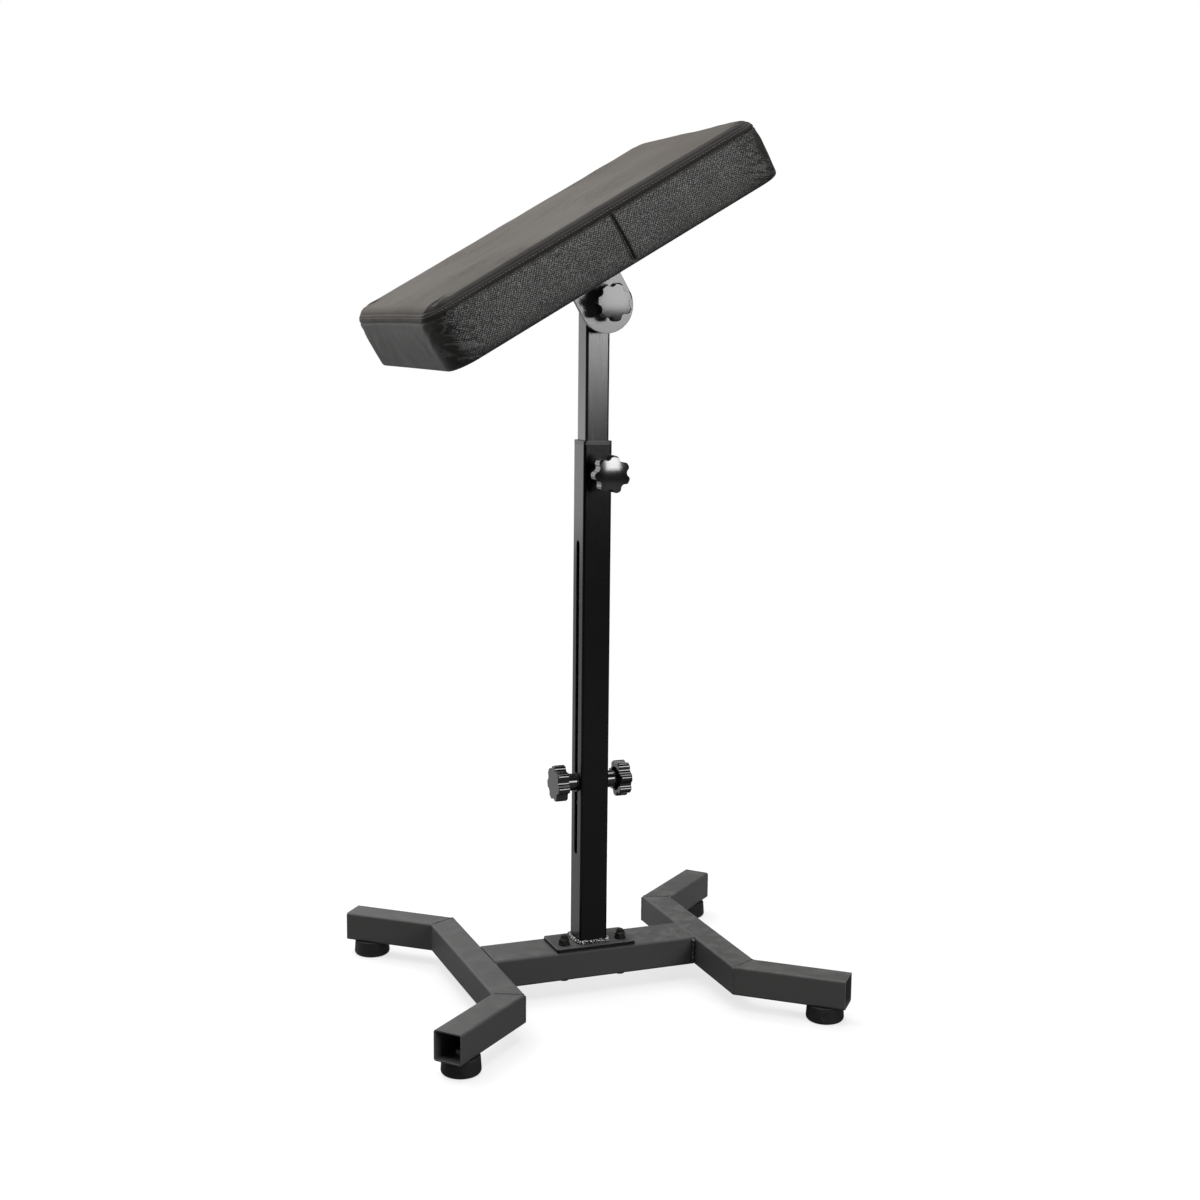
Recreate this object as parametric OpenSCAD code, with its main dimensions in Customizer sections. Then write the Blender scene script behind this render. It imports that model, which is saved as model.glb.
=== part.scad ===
// Arm rest stand: a bolted post on a four-legged tube base, a sliding mast that is
// held by a clamp knob and a through bolt, and a padded rest that tilts on one pivot.
// Millimetres. The floor is z = 0, the mast stands on x = y = 0, the front is -Y.

/* [Base frame] */
// Distance between the centre lines of the two side rails
rail_spacing = 250; // [220:5:320]
// Length of a side rail between the centres of its two bends
rail_len = 225; // [190:5:280]
// Length of a leg from the bend's centre to its open end
leg_len = 108; // [90:1:140]
// Angle between a leg and its rail
leg_angle = 49; // [35:1:60]
// Outside width of the square tube of the rails, the legs and the crossbar's height
leg_tube = 30; // [26:1:38]
// Wall of the base tubes
leg_wall = 1.5; // [1.2:0.1:2.5]
// Width of the crossbar
crossbar_w = 50; // [46:1:64]

/* [Feet] */
// Diameter of a rubber foot
foot_d = 38; // [34:1:44]
// Height of a rubber foot
foot_h = 17; // [15:1:22]
// Distance from a leg's open end to the foot's centre
foot_inset = 23; // [21:1:30]
// Diameter of the foot screw
foot_screw_d = 6; // [5:0.5:7]

/* [Mount plate] */
// Length of the mount plate along the crossbar
plate_len = 86; // [82:1:110]
// Thickness of the mount plate
plate_t = 4; // [3:0.5:8]
// Depth of the mount plate across the crossbar
plate_w = 45; // [42:1:60]
// How far the mount plate's middle lies in front of the post's
plate_shift = 2.5; // [0:0.5:5]
// Diameter of the mount plate's bolts
plate_bolt_d = 6; // [5:0.5:7]
// Distance from the plate's end to a bolt
plate_bolt_edge = 12; // [10:0.5:13]
// How far the mount plate's bolts lie in front of the post's middle
plate_bolt_shift = 11; // [0:0.5:14]

/* [Post] */
// Outside width of the square post
post_tube = 30; // [28:1:34]
// Wall of the post
post_wall = 1.5; // [1.2:0.1:2]
// Length of the post
post_len = 515; // [480:1:560]
// Height of the slot's lower end above the post's foot
slot_from = 91; // [70:1:110]
// Length of the slot
slot_len = 327; // [280:1:340]
// Distance from the post's top to the clamp knob's axis
clamp_drop = 27; // [25:1:34]
// Thickness of the weld nut that carries the clamp knob
clamp_nut_h = 9; // [7:0.5:12]
// Length of the clamp stud that shows between nut and knob
clamp_show = 8; // [4:0.5:12]

/* [Mast] */
// Wall of the mast
mast_wall = 1.5; // [1.2:0.1:2]
// Length of the mast
mast_len = 520; // [500:1:560]
// Height of the tilt pivot above the post's top, as photographed
mast_out = 139; // [120:1:180]
// Distance from the pivot to the mast's upper end
pivot_below_top = 14; // [12:0.5:16]
// Distance from the mast's lower end to the cross bolt
cross_bolt_up = 20.5; // [19:0.5:26]
// Diameter of the cross bolt, the clamp stud and the pivot bolt
bolt_d = 8; // [7:0.5:9]

/* [Knobs] */
// Diameter of a star knob over its lobes
knob_d = 37.6; // [34:0.2:42]
// Thickness of a star knob's head
knob_h = 12.5; // [12:0.5:18]
// Number of lobes on a star knob
lobe_count = 7; // [5:1:9]
// Turn of the clamp knob's lobes about its stud
clamp_knob_turn = 30.5; // [0:0.5:51]
// Turn of the tilt knob's lobes about its bolt
tilt_knob_turn = 23; // [0:0.5:51]
// Diameter of a star knob's hub
hub_d = 17.5; // [16.5:0.5:19]
// Length of the hub below the head
hub_h = 11; // [6:0.5:12]

/* [Tilt head] */
// Tilt of the pad, as photographed
tilt = 30.2; // [20:0.1:45]
// Distance from the pivot to the pad's underside
pivot_drop = 35.4; // [33:0.2:42]
// Width of the rounded ear under the pad
ear_w = 55; // [40:1:60]
// Thickness of the ear
ear_t = 4; // [3:0.5:6]
// Length of the boss between mast and ear
boss_len = 13; // [10:0.5:16]
// Side of the square plate that carries the pad
pad_plate_w = 120; // [110:1:150]
// Thickness of the plate that carries the pad
pad_plate_t = 3; // [2.5:0.5:4]

/* [Pad] */
// Length of the pad
pad_len = 375; // [320:5:420]
// Width of the pad
pad_w = 280; // [200:5:300]
// Height of the pad's side, from its underside to the shoulder
pad_side_h = 58; // [48:1:70]
// Rise of the crown above the shoulder
pad_crown = 4; // [2:0.5:10]
// Corner radius of the pad, seen from above
pad_corner_r = 28; // [16:1:36]
// Thickness of the wooden board inside the pad
board_t = 12; // [9:0.5:15]
// How far the pad's middle lies below the pivot along the slope
pad_shift = 6; // [0:0.5:12]

/* [Clearances] */
// Gap of parts that bear on each other and move
seat_gap = 0.1; // [0.05:0.01:0.2]
// Radial gap of a shaft that turns in its hole
run_gap = 0.05; // [0.03:0.01:0.08]
// Gap of a tube or a bush that slides
slide_gap = 0.15; // [0.1:0.01:0.25]
// Gap round a plug or an insert that is pressed in
fit_gap = 0.05; // [0.02:0.01:0.1]
// Radial gap of a bolt in its clearance hole
bolt_gap = 0.25; // [0.2:0.01:0.4]
// Gap on each side of the cross bolt in the post's slots
slot_gap = 0.5; // [0.3:0.1:1]
// Space left between a stud's end and the bottom of its blind hole
end_gap = 1; // [0.5:0.1:2]

/* [Hidden] */
$fn = 64;
// How far a cutting shape runs past the face that it opens
cut = 1;

// Tube sections
tube_bend = 1;
leg_r = leg_wall + tube_bend;
post_r = post_wall + tube_bend;
mast_r = mast_wall + tube_bend;

// Base frame
base_top = foot_h + leg_tube;
base_mid = foot_h + leg_tube/2;
crossbar_len = rail_spacing - leg_tube;
frame_weld = 4;
weld_end_gap = 2;

// Feet
foot_edge_r = 4;
foot_flare = 0.8;
foot_recess_d = 2.4*foot_screw_d;
foot_recess_h = foot_h/2;
hex_land_share = 0.95;
screw_head_share = 0.6;
pan_head_share = 1.85;
washer_t = 1.6;
small_washer_share = 2;
nut_af_share = 1.65;
nut_h_share = 0.8;
foot_screw_len = foot_h - foot_recess_h + washer_t + leg_wall + nut_h_share*foot_screw_d;

// Mount plate and its bolts
plate_corner_r = 3;
plate_top = base_top + plate_t;
plate_bolt_x = plate_len/2 - plate_bolt_edge;
nut_collar_share = 0.3;
lock_ring_share = 0.88;
bolt_head_share = 0.67;
bolt_tip = 1.5;
post_weld_leg = 4;

// Post
post_bore = post_tube - 2*post_wall;
post_top = plate_top + post_len;
slot_w = bolt_d + 2*slot_gap;
slot_low = plate_top + slot_from;
clamp_z = post_top - clamp_drop;
clamp_nut_af = 2*bolt_d;
collar_flange_t = 3.3;
collar_sleeve = 18;

// Mast
mast_gap = 1;
mast_tube = post_bore - 2*mast_gap;
mast_bore = mast_tube - 2*mast_wall;
pivot_z = post_top + mast_out;
mast_top = pivot_z + pivot_below_top;
mast_low = mast_top - mast_len;
cross_z = mast_low + cross_bolt_up;
glide_t = 4;
glide_spigot = 12;
plug_wall = 2;
cap_t = 2;
cap_spigot = 7;

// Knobs
knob_r = knob_d/2;
lobe_r = 0.225*knob_r;
valley_r = 0.235*knob_r;
valley_bite = 0.01;
lobe_half_pitch = 180/lobe_count;
lobe_at = knob_r - lobe_r;
valley_at = lobe_at*cos(lobe_half_pitch)
    + sqrt(pow(lobe_r + valley_r, 2) - pow(lobe_at*sin(lobe_half_pitch), 2));
knob_back_edge = 1;
knob_face_r = 1.6;
knob_rim = 2.2;
knob_web = 5.5;
insert_d = 1.5*bolt_d;
insert_len = 11;
thread_depth = 14;
stud_chamfer = 0.8;
wide_washer_d = 2.5*bolt_d;
head_af = 1.625*bolt_d;
head_h = 0.66*bolt_d;

// Tilt head, measured forwards from the mast's front face
friction_t = 1;
friction_d = 3*bolt_d;
boss_front = mast_tube/2 + boss_len;
ear_back = boss_front + friction_t + seat_gap;
ear_front = ear_back + ear_t;
tilt_washer_back = ear_front + seat_gap;
tilt_hub_face = tilt_washer_back + washer_t + seat_gap;
ear_end_drop = 3;
ear_weld_leg = 3.5;
pad_plate_r = 10;
pad_screw_edge = 13;
pad_screw_d = 6;
pad_screw_at = pad_plate_w/2 - pad_screw_edge;
pad_screw_head_d = 2*pad_screw_d;
pad_screw_head_h = 3.3;
tee_nut_d = 8;
tee_nut_flange_d = 19;
tee_nut_flange_t = 1.5;

// Pad
cover_t = 2.5;
side_puff = 1.5;
skin = side_puff + cover_t;
hem_t = 1.2;
hem_w = 26;
board_gap = 0.3;
pad_edge_r = 4;
pad_top_r = 11;
crown_shares = [0.12, 0.32, 0.62];
side_draw = 2;
seam_drop = 8.5;
seam_in = 0.9;
seam_half = 1.4;
arc_steps = 6;
side_steps = 4;
cosine_share = 1 - cos(45);

// Shapes that several parts share

module round_rect(w, h, r) {
    square([w - 2*r, h], center = true);
    square([w, h - 2*r], center = true);
    for (sx = [-1, 1], sy = [-1, 1])
        translate([sx*(w/2 - r), sy*(h/2 - r)]) circle(r);
}

module tube_section(w, h, wall) {
    difference() {
        round_rect(w, h, wall + tube_bend);
        round_rect(w - 2*wall, h - 2*wall, tube_bend);
    }
}

module ring(outer_d, inner_d, h) {
    difference() {
        cylinder(h = h, d = outer_d);
        translate([0, 0, -cut]) cylinder(h = h + 2*cut, d = inner_d);
    }
}

// A hexagon af wide across its flats, its corners chamfered on top, and below too if both is set
module hexagon(af, h, both) {
    corner_r = af/2/cos(30);
    flat_r = hex_land_share*af/2;
    chamfer = (corner_r - flat_r)*tan(30);
    foot_r = both ? flat_r : corner_r;
    foot_chamfer = both ? chamfer : 0;
    intersection() {
        cylinder(h = h, r = corner_r, $fn = 6);
        rotate_extrude() polygon([
            [0, 0], [foot_r, 0], [corner_r, foot_chamfer],
            [corner_r, h - chamfer], [flat_r, h], [0, h]
        ]);
    }
}

// A nut's bore stands for its thread and clears the bolt by fit_gap
module hex_nut(af, d, h, both) {
    difference() {
        hexagon(af, h, both);
        translate([0, 0, -cut]) cylinder(h = h + 2*cut, d = d + 2*fit_gap);
    }
}

// A round bar with both ends chamfered
module stud(d, len) {
    rotate_extrude() polygon([
        [0, 0], [d/2 - stud_chamfer, 0], [d/2, stud_chamfer],
        [d/2, len - stud_chamfer], [d/2 - stud_chamfer, len], [0, len]
    ]);
}

module facing_front() { rotate([90, 0, 0]) children(); }
module facing_left() { rotate([0, -90, 0]) children(); }
module facing_right() { rotate([0, 90, 0]) children(); }

// Base frame

// Everything on the far side of a plane through the origin, seen from above
module half_space(turn, side) {
    rotate([0, 0, turn])
        translate([0, side*leg_len/2, 0])
            cube([leg_len, leg_len, leg_tube + 2*cut], center = true);
}

module leg_tube_along_y(len) {
    rotate([90, 0, 0])
        linear_extrude(len, center = true) tube_section(leg_tube, leg_tube, leg_wall);
}

module rail(sx) {
    color("#232325")
    translate([sx*rail_spacing/2, 0, base_mid])
        mirror([sx < 0 ? 1 : 0, 0, 0])
            difference() {
                leg_tube_along_y(rail_len + leg_tube);
                for (sy = [-1, 1])
                    translate([0, sy*rail_len/2, 0]) half_space(-sy*leg_angle/2, sy);
            }
}

// Places its children at the bend of one leg, with the leg running out along +Y
module at_bend(sx, sy) {
    translate([sx*rail_spacing/2, sy*rail_len/2, 0])
        mirror([sx < 0 ? 1 : 0, 0, 0]) mirror([0, sy < 0 ? 1 : 0, 0])
            rotate([0, 0, -leg_angle]) children();
}

module at_foot(sx, sy) {
    at_bend(sx, sy) translate([0, leg_len - foot_inset, 0]) children();
}

module leg(sx, sy) {
    color("#232325")
    difference() {
        at_bend(sx, sy) translate([0, 0, base_mid]) difference() {
            translate([0, (leg_len - leg_tube)/2, 0]) leg_tube_along_y(leg_len + leg_tube);
            half_space(leg_angle/2, -1);
        }
        at_foot(sx, sy) translate([0, 0, foot_h - cut])
            cylinder(h = leg_wall + 2*cut, d = foot_screw_d + 2*bolt_gap);
    }
}

module crossbar() {
    color("#232325")
    difference() {
        translate([0, 0, base_mid]) rotate([90, 0, 90])
            linear_extrude(crossbar_len, center = true) tube_section(crossbar_w, leg_tube, leg_wall);
        at_plate_bolts() translate([0, 0, foot_h - cut])
            cylinder(h = leg_tube + 2*cut, d = plate_bolt_d + 2*bolt_gap);
    }
}

// Fillet welds in the four upright corners between the crossbar and the rails
module frame_welds() {
    weld_h = leg_tube - 2*leg_r - weld_end_gap;
    color("#2b2b2d")
    for (sx = [-1, 1], sy = [-1, 1])
        translate([sx*crossbar_len/2, sy*crossbar_w/2, base_mid - weld_h/2])
            mirror([sx < 0 ? 1 : 0, 0, 0]) mirror([0, sy < 0 ? 1 : 0, 0])
                linear_extrude(weld_h) polygon([[0, 0], [-frame_weld, 0], [0, frame_weld]]);
}

// Feet

module foot(sx, sy) {
    top_r = foot_d/2 - foot_flare;
    color("#141414")
    at_foot(sx, sy) rotate_extrude() difference() {
        union() {
            translate([foot_d/2 - foot_edge_r, foot_edge_r]) circle(foot_edge_r);
            polygon([
                [0, 0], [foot_d/2 - foot_edge_r, 0], [foot_d/2 - foot_edge_r, foot_edge_r],
                [foot_d/2, foot_edge_r], [top_r, foot_h - foot_flare],
                [top_r - foot_flare, foot_h], [0, foot_h]
            ]);
        }
        translate([-cut, -cut]) square([foot_recess_d/2 + cut, foot_recess_h + cut]);
        translate([-cut, -cut]) square([foot_screw_d/2 + bolt_gap + cut, foot_h + 2*cut]);
    }
}

module at_feet() {
    for (sx = [-1, 1], sy = [-1, 1]) at_foot(sx, sy) children();
}

module foot_washers() {
    color("#8d8f92")
    at_feet() translate([0, 0, foot_recess_h - washer_t])
        ring(small_washer_share*foot_screw_d, foot_screw_d + 2*bolt_gap, washer_t);
}

module foot_screws() {
    head = screw_head_share*foot_screw_d;
    head_d = pan_head_share*foot_screw_d;
    color("#8d8f92")
    at_feet() translate([0, 0, foot_recess_h - washer_t - head]) {
        cylinder(h = head, d1 = head_d - head/2, d2 = head_d);
        cylinder(h = head + foot_screw_len, d = foot_screw_d);
    }
}

module foot_nuts() {
    color("#8d8f92")
    at_feet() translate([0, 0, foot_h + leg_wall])
        hex_nut(nut_af_share*foot_screw_d, foot_screw_d, nut_h_share*foot_screw_d, true);
}

// Mount plate and its two bolts

module mount_plate() {
    color("#202022")
    translate([0, 0, base_top]) difference() {
        translate([0, -plate_shift, 0])
            linear_extrude(plate_t) round_rect(plate_len, plate_w, plate_corner_r);
        at_plate_bolts() translate([0, 0, -cut])
            cylinder(h = plate_t + 2*cut, d = plate_bolt_d + 2*bolt_gap);
    }
}

module at_plate_bolts() {
    for (sx = [-1, 1]) translate([sx*plate_bolt_x, -plate_bolt_shift, 0]) children();
}

module plate_bolts() {
    head = bolt_head_share*plate_bolt_d;
    nut = (nut_h_share + nut_collar_share)*plate_bolt_d;
    color("#1a1a1b")
    at_plate_bolts() translate([0, 0, foot_h - head]) {
        translate([0, 0, head]) mirror([0, 0, 1]) hexagon(nut_af_share*plate_bolt_d, head, false);
        cylinder(h = head + leg_tube + plate_t + washer_t + nut + bolt_tip, d = plate_bolt_d);
    }
}

module plate_washers() {
    color("#1a1a1b")
    at_plate_bolts() translate([0, 0, plate_top])
        ring(small_washer_share*plate_bolt_d, plate_bolt_d + 2*bolt_gap, washer_t);
}

// Lock nuts: a hexagon with a round collar that holds the nylon ring
module plate_nuts() {
    af = nut_af_share*plate_bolt_d;
    color("#1a1a1b")
    at_plate_bolts() translate([0, 0, plate_top + washer_t]) {
        hex_nut(af, plate_bolt_d, nut_h_share*plate_bolt_d, false);
        translate([0, 0, nut_h_share*plate_bolt_d])
            ring(lock_ring_share*af, plate_bolt_d + 2*fit_gap, nut_collar_share*plate_bolt_d);
    }
}

// Post

module slot_cutter() {
    run = slot_len - slot_w;
    translate([0, 0, slot_low + slot_w/2]) facing_right() {
        for (end = [0, run]) translate([-end, 0, 0])
            cylinder(h = post_tube + 2*cut, d = slot_w, center = true);
        translate([-run/2, 0, 0]) cube([run, slot_w, post_tube + 2*cut], center = true);
    }
}

module post() {
    color("#161618")
    difference() {
        translate([0, 0, plate_top])
            linear_extrude(post_len) tube_section(post_tube, post_tube, post_wall);
        slot_cutter();
        translate([0, 0, clamp_z]) facing_front()
            cylinder(h = post_tube/2 + cut, d = bolt_d + 2*bolt_gap);
    }
}

// A fillet weld all round the foot of the post
module post_weld() {
    side = post_tube - 2*post_r;
    color("#2b2b2d")
    translate([0, 0, plate_top])
        for (turn = [0:90:270]) rotate([0, 0, turn]) {
            translate([post_tube/2, side/2, 0]) rotate([90, 0, 0])
                linear_extrude(side) polygon([[0, 0], [post_weld_leg, 0], [0, post_weld_leg]]);
            translate([side/2, side/2, 0]) rotate_extrude(angle = 90)
                polygon([[post_r, 0], [post_r + post_weld_leg, 0], [post_r, post_weld_leg]]);
        }
}

// The plastic bush in the post's mouth that guides the mast
module post_collar() {
    inner = mast_tube + 2*slide_gap;
    sleeve = post_bore - 2*fit_gap;
    color("#1b1b1c")
    translate([0, 0, post_top]) difference() {
        union() {
            linear_extrude(collar_flange_t) round_rect(post_tube, post_tube, post_r);
            translate([0, 0, -collar_sleeve])
                linear_extrude(collar_sleeve) round_rect(sleeve, sleeve, tube_bend);
        }
        translate([0, 0, -collar_sleeve - cut])
            linear_extrude(collar_sleeve + collar_flange_t + 2*cut)
                round_rect(inner, inner, mast_r + slide_gap);
    }
}

module clamp_nut() {
    color("#1f1f20")
    translate([0, -post_tube/2, clamp_z]) facing_front()
        hex_nut(clamp_nut_af, bolt_d, clamp_nut_h, false);
}

// Mast

module mast() {
    color("#2a2a2c")
    difference() {
        translate([0, 0, mast_low])
            linear_extrude(mast_len) tube_section(mast_tube, mast_tube, mast_wall);
        translate([0, 0, cross_z]) facing_right()
            cylinder(h = mast_tube + 2*cut, d = bolt_d + 2*bolt_gap, center = true);
        translate([0, 0, pivot_z]) facing_front()
            cylinder(h = mast_tube + 2*cut, d = bolt_d + 2*bolt_gap, center = true);
    }
}

// A hollow spigot that plugs one end of the mast, from z = 0 upwards
module spigot(h) {
    outer = mast_bore - 2*fit_gap;
    difference() {
        linear_extrude(h) round_rect(outer, outer, tube_bend);
        translate([0, 0, -cut]) linear_extrude(h + 2*cut)
            round_rect(outer - 2*plug_wall, outer - 2*plug_wall, tube_bend);
    }
}

// The plastic glide that centres the mast's lower end in the post
module mast_glide() {
    outer = post_bore - 2*slide_gap;
    color("#101011")
    translate([0, 0, mast_low]) {
        translate([0, 0, -glide_t]) linear_extrude(glide_t) round_rect(outer, outer, tube_bend + slide_gap);
        spigot(glide_spigot);
    }
}

module mast_cap() {
    color("#101011")
    translate([0, 0, mast_top]) {
        linear_extrude(cap_t) round_rect(mast_tube, mast_tube, mast_r);
        translate([0, 0, -cap_spigot]) spigot(cap_spigot);
    }
}

// Knobs

// The outline of a star: lobes and valleys are arcs that meet on the line between their centres
module star_outline() {
    half_pitch = lobe_half_pitch;
    meet_share = lobe_r/(lobe_r + valley_r);
    meet_x = lobe_at + meet_share*(valley_at*cos(half_pitch) - lobe_at);
    meet_y = meet_share*valley_at*sin(half_pitch);
    meet_r = norm([meet_x, meet_y]);
    meet_turn = atan2(meet_y, meet_x);
    difference() {
        union() {
            polygon([
                for (i = [0:lobe_count - 1], s = [-1, 1])
                    meet_r*[cos(2*i*half_pitch + s*meet_turn), sin(2*i*half_pitch + s*meet_turn)]
            ]);
            for (i = [0:lobe_count - 1]) rotate(2*i*half_pitch) translate([lobe_at, 0]) circle(lobe_r);
        }
        for (i = [0:lobe_count - 1]) rotate((2*i + 1)*half_pitch)
            translate([valley_at, 0]) circle(valley_r + valley_bite);
    }
}

// The turned envelope that rounds the star's back edge and its face
module star_envelope() {
    rotate_extrude() polygon(concat(
        [[0, 0], [knob_r - knob_back_edge, 0], [knob_r, knob_back_edge]],
        [for (a = [0:30:90]) [
            knob_r - knob_face_r*(1 - cos(a)),
            knob_h - knob_face_r*(1 - sin(a))
        ]],
        [[0, knob_h]]
    ));
}

// A moulded star knob on +Z, its hub's seat at z = 0, hollow round the hub behind its face
module star_knob(bore_d, bore_depth) {
    hollow_h = knob_h - knob_web;
    difference() {
        union() {
            cylinder(h = hub_h + hollow_h + knob_web/2, d = hub_d);
            difference() {
                translate([0, 0, hub_h]) intersection() {
                    linear_extrude(knob_h) star_outline();
                    star_envelope();
                }
                translate([0, 0, hub_h - cut])
                    cylinder(h = hollow_h + cut, r = valley_at - valley_r - knob_rim);
            }
        }
        translate([0, 0, -cut]) cylinder(h = bore_depth + cut, d = bore_d);
        translate([0, 0, -cut]) cylinder(h = thread_depth + cut, d = bolt_d + 2*run_gap);
    }
}

module moulded_star_knob() {
    color("#0d0d0e") star_knob(insert_d + 2*fit_gap, insert_len);
}

module thread_insert() {
    color("#b08d3c") ring(insert_d, bolt_d + 2*run_gap, insert_len);
}

module at_clamp() { translate([0, 0, clamp_z]) facing_front() children(); }
module at_left() { translate([0, 0, cross_z]) facing_left() children(); }
module at_right() { translate([0, 0, cross_z]) facing_right() children(); }
module at_tilt() { translate([0, 0, pivot_z]) facing_front() children(); }

clamp_hub_face = post_tube/2 + clamp_nut_h + clamp_show;
cross_washer_at = post_tube/2 + seat_gap;
cross_hub_face = cross_washer_at + washer_t + seat_gap;

module clamp_stud() {
    tip = mast_tube/2 + seat_gap;
    color("#9a9c9f")
    at_clamp() translate([0, 0, tip]) stud(bolt_d, clamp_hub_face + thread_depth - end_gap - tip);
}

module clamp_knob() {
    color("#0d0d0e")
    at_clamp() translate([0, 0, clamp_hub_face]) rotate(clamp_knob_turn)
        star_knob(bolt_d + 2*run_gap, thread_depth);
}

module wide_washer() {
    color("#1a1a1b") ring(wide_washer_d, bolt_d + 2*bolt_gap, washer_t);
}

module left_washer() { at_left() translate([0, 0, cross_washer_at]) wide_washer(); }
module left_knob() { at_left() translate([0, 0, cross_hub_face]) moulded_star_knob(); }
module left_insert() { at_left() translate([0, 0, cross_hub_face]) thread_insert(); }
module right_washer() { at_right() translate([0, 0, cross_washer_at]) wide_washer(); }
module right_knob() { at_right() translate([0, 0, cross_hub_face]) moulded_star_knob(); }
module right_insert() { at_right() translate([0, 0, cross_hub_face]) thread_insert(); }
module tilt_washer() { at_tilt() translate([0, 0, tilt_washer_back]) wide_washer(); }
module tilt_knob() {
    at_tilt() translate([0, 0, tilt_hub_face]) rotate(tilt_knob_turn) moulded_star_knob();
}
module tilt_insert() { at_tilt() translate([0, 0, tilt_hub_face]) thread_insert(); }

// The bolt through the mast's lower end and both slots of the post
module cross_bolt() {
    reach = cross_hub_face + thread_depth - end_gap;
    color("#9a9c9f")
    at_right() translate([0, 0, -reach]) stud(bolt_d, 2*reach);
}

// Tilt head

module tilt_boss() {
    color("#232325")
    at_tilt() translate([0, 0, mast_tube/2]) ring(mast_tube, bolt_d + 2*bolt_gap, boss_len);
}

module friction_washer() {
    color("#3a3230")
    at_tilt() translate([0, 0, boss_front]) ring(friction_d, bolt_d + 2*bolt_gap, friction_t);
}

module pivot_washer() {
    color("#8d8f92")
    at_tilt() translate([0, 0, -mast_tube/2 - washer_t])
        ring(wide_washer_d, bolt_d + 2*bolt_gap, washer_t);
}

module pivot_bolt() {
    back = mast_tube/2 + washer_t;
    color("#8d8f92")
    at_tilt() {
        translate([0, 0, -back]) mirror([0, 0, 1]) hexagon(head_af, head_h, false);
        translate([0, 0, -back - stud_chamfer])
            stud(bolt_d, back + stud_chamfer + tilt_hub_face + thread_depth - end_gap);
    }
}

// The pad's own frame: x up the slope, z square to the underside, z = 0 on the underside
module on_pad() {
    translate([0, 0, pivot_z]) rotate([0, -tilt, 0]) translate([0, 0, pivot_drop]) children();
}

// The rounded ear that hangs from the pad's plate and turns on the pivot bolt
module tilt_ear() {
    ear_h = pivot_drop - pad_plate_t + ear_end_drop;
    color("#2a2a2c")
    on_pad() translate([0, -ear_back, -pivot_drop]) rotate([90, 0, 0]) difference() {
        union() {
            translate([0, -ear_end_drop, 0]) cylinder(h = ear_t, d = ear_w);
            translate([-ear_w/2, -ear_end_drop, 0]) cube([ear_w, ear_h, ear_t]);
        }
        translate([0, 0, -cut]) cylinder(h = ear_t + 2*cut, d = bolt_d + 2*run_gap);
    }
}

// Fillet welds before and behind the ear, under the plate
module ear_weld() {
    bead = ear_w - 2*ear_weld_leg;
    color("#2b2b2d")
    on_pad() translate([0, 0, -pad_plate_t])
        for (face = [[-ear_front, -1], [-ear_back, 1]])
            translate([-bead/2, face[0], 0]) rotate([90, 0, 90]) linear_extrude(bead)
                polygon([[0, 0], [face[1]*ear_weld_leg, 0], [0, -ear_weld_leg]]);
}

module at_pad_screws() {
    for (sx = [-1, 1], sy = [-1, 1])
        translate([sx*pad_screw_at, sy*pad_screw_at, 0]) children();
}

module pad_plate() {
    color("#232325")
    on_pad() translate([0, 0, -pad_plate_t]) difference() {
        linear_extrude(pad_plate_t) round_rect(pad_plate_w, pad_plate_w, pad_plate_r);
        at_pad_screws() translate([0, 0, -cut])
            cylinder(h = pad_plate_t + 2*cut, d = pad_screw_d + 2*bolt_gap);
    }
}

module pad_screws() {
    color("#8d8f92")
    on_pad() at_pad_screws() translate([0, 0, -pad_plate_t - pad_screw_head_h]) {
        cylinder(h = pad_screw_head_h, d1 = pad_screw_head_d - pad_screw_head_h, d2 = pad_screw_head_d);
        cylinder(h = pad_screw_head_h + pad_plate_t + hem_t + board_t, d = pad_screw_d);
    }
}

// Tee nuts, their flanges on top of the board
module tee_nuts() {
    color("#8d8f92")
    on_pad() at_pad_screws() translate([0, 0, hem_t]) difference() {
        union() {
            cylinder(h = board_t, d = tee_nut_d);
            translate([0, 0, board_t]) cylinder(h = tee_nut_flange_t, d = tee_nut_flange_d);
        }
        translate([0, 0, -cut]) cylinder(h = board_t + tee_nut_flange_t + 2*cut, d = pad_screw_d);
    }
}

// Pad

// One turn round the pad at a given inset; the long and short sides draw in between the corners
function pad_ring(inset, draw, z) =
    let (r = max(pad_corner_r - inset, pad_top_r),
         mid_x = pad_len/2 - inset - r, mid_y = pad_w/2 - inset - r)
    [for (corner = [0:3])
        let (cx = mid_x*[1, -1, -1, 1][corner], cy = mid_y*[1, 1, -1, -1][corner],
             side = 2*[mid_x, mid_y][corner % 2], end = 90*(corner + 1))
        each concat(
            [for (k = [0:arc_steps])
                let (a = 90*(corner + k/arc_steps))
                [cx + r*cos(a), cy + r*sin(a), z]],
            [for (k = [1:side_steps - 1])
                let (share = k/side_steps, pull = draw*4*share*(1 - share))
                [cx + (r - pull)*cos(end) - side*share*sin(end),
                 cy + (r - pull)*sin(end) + side*share*cos(end), z]]
        )];

// Joins a stack of rings into a closed skin; both ends close on a middle point
function stack_points(rings, low, high) = concat([for (ring = rings) each ring], [low, high]);
function stack_faces(levels, n) = concat(
    [for (i = [0:levels - 2], j = [0:n - 1])
        let (a = i*n + j, b = i*n + (j + 1) % n)
        each [[a, a + n, b], [b, a + n, b + n]]],
    [for (j = [0:n - 1]) [levels*n, j, (j + 1) % n]],
    [for (j = [0:n - 1]) [levels*n + 1, (levels - 1)*n + (j + 1) % n, (levels - 1)*n + j]]
);

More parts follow.
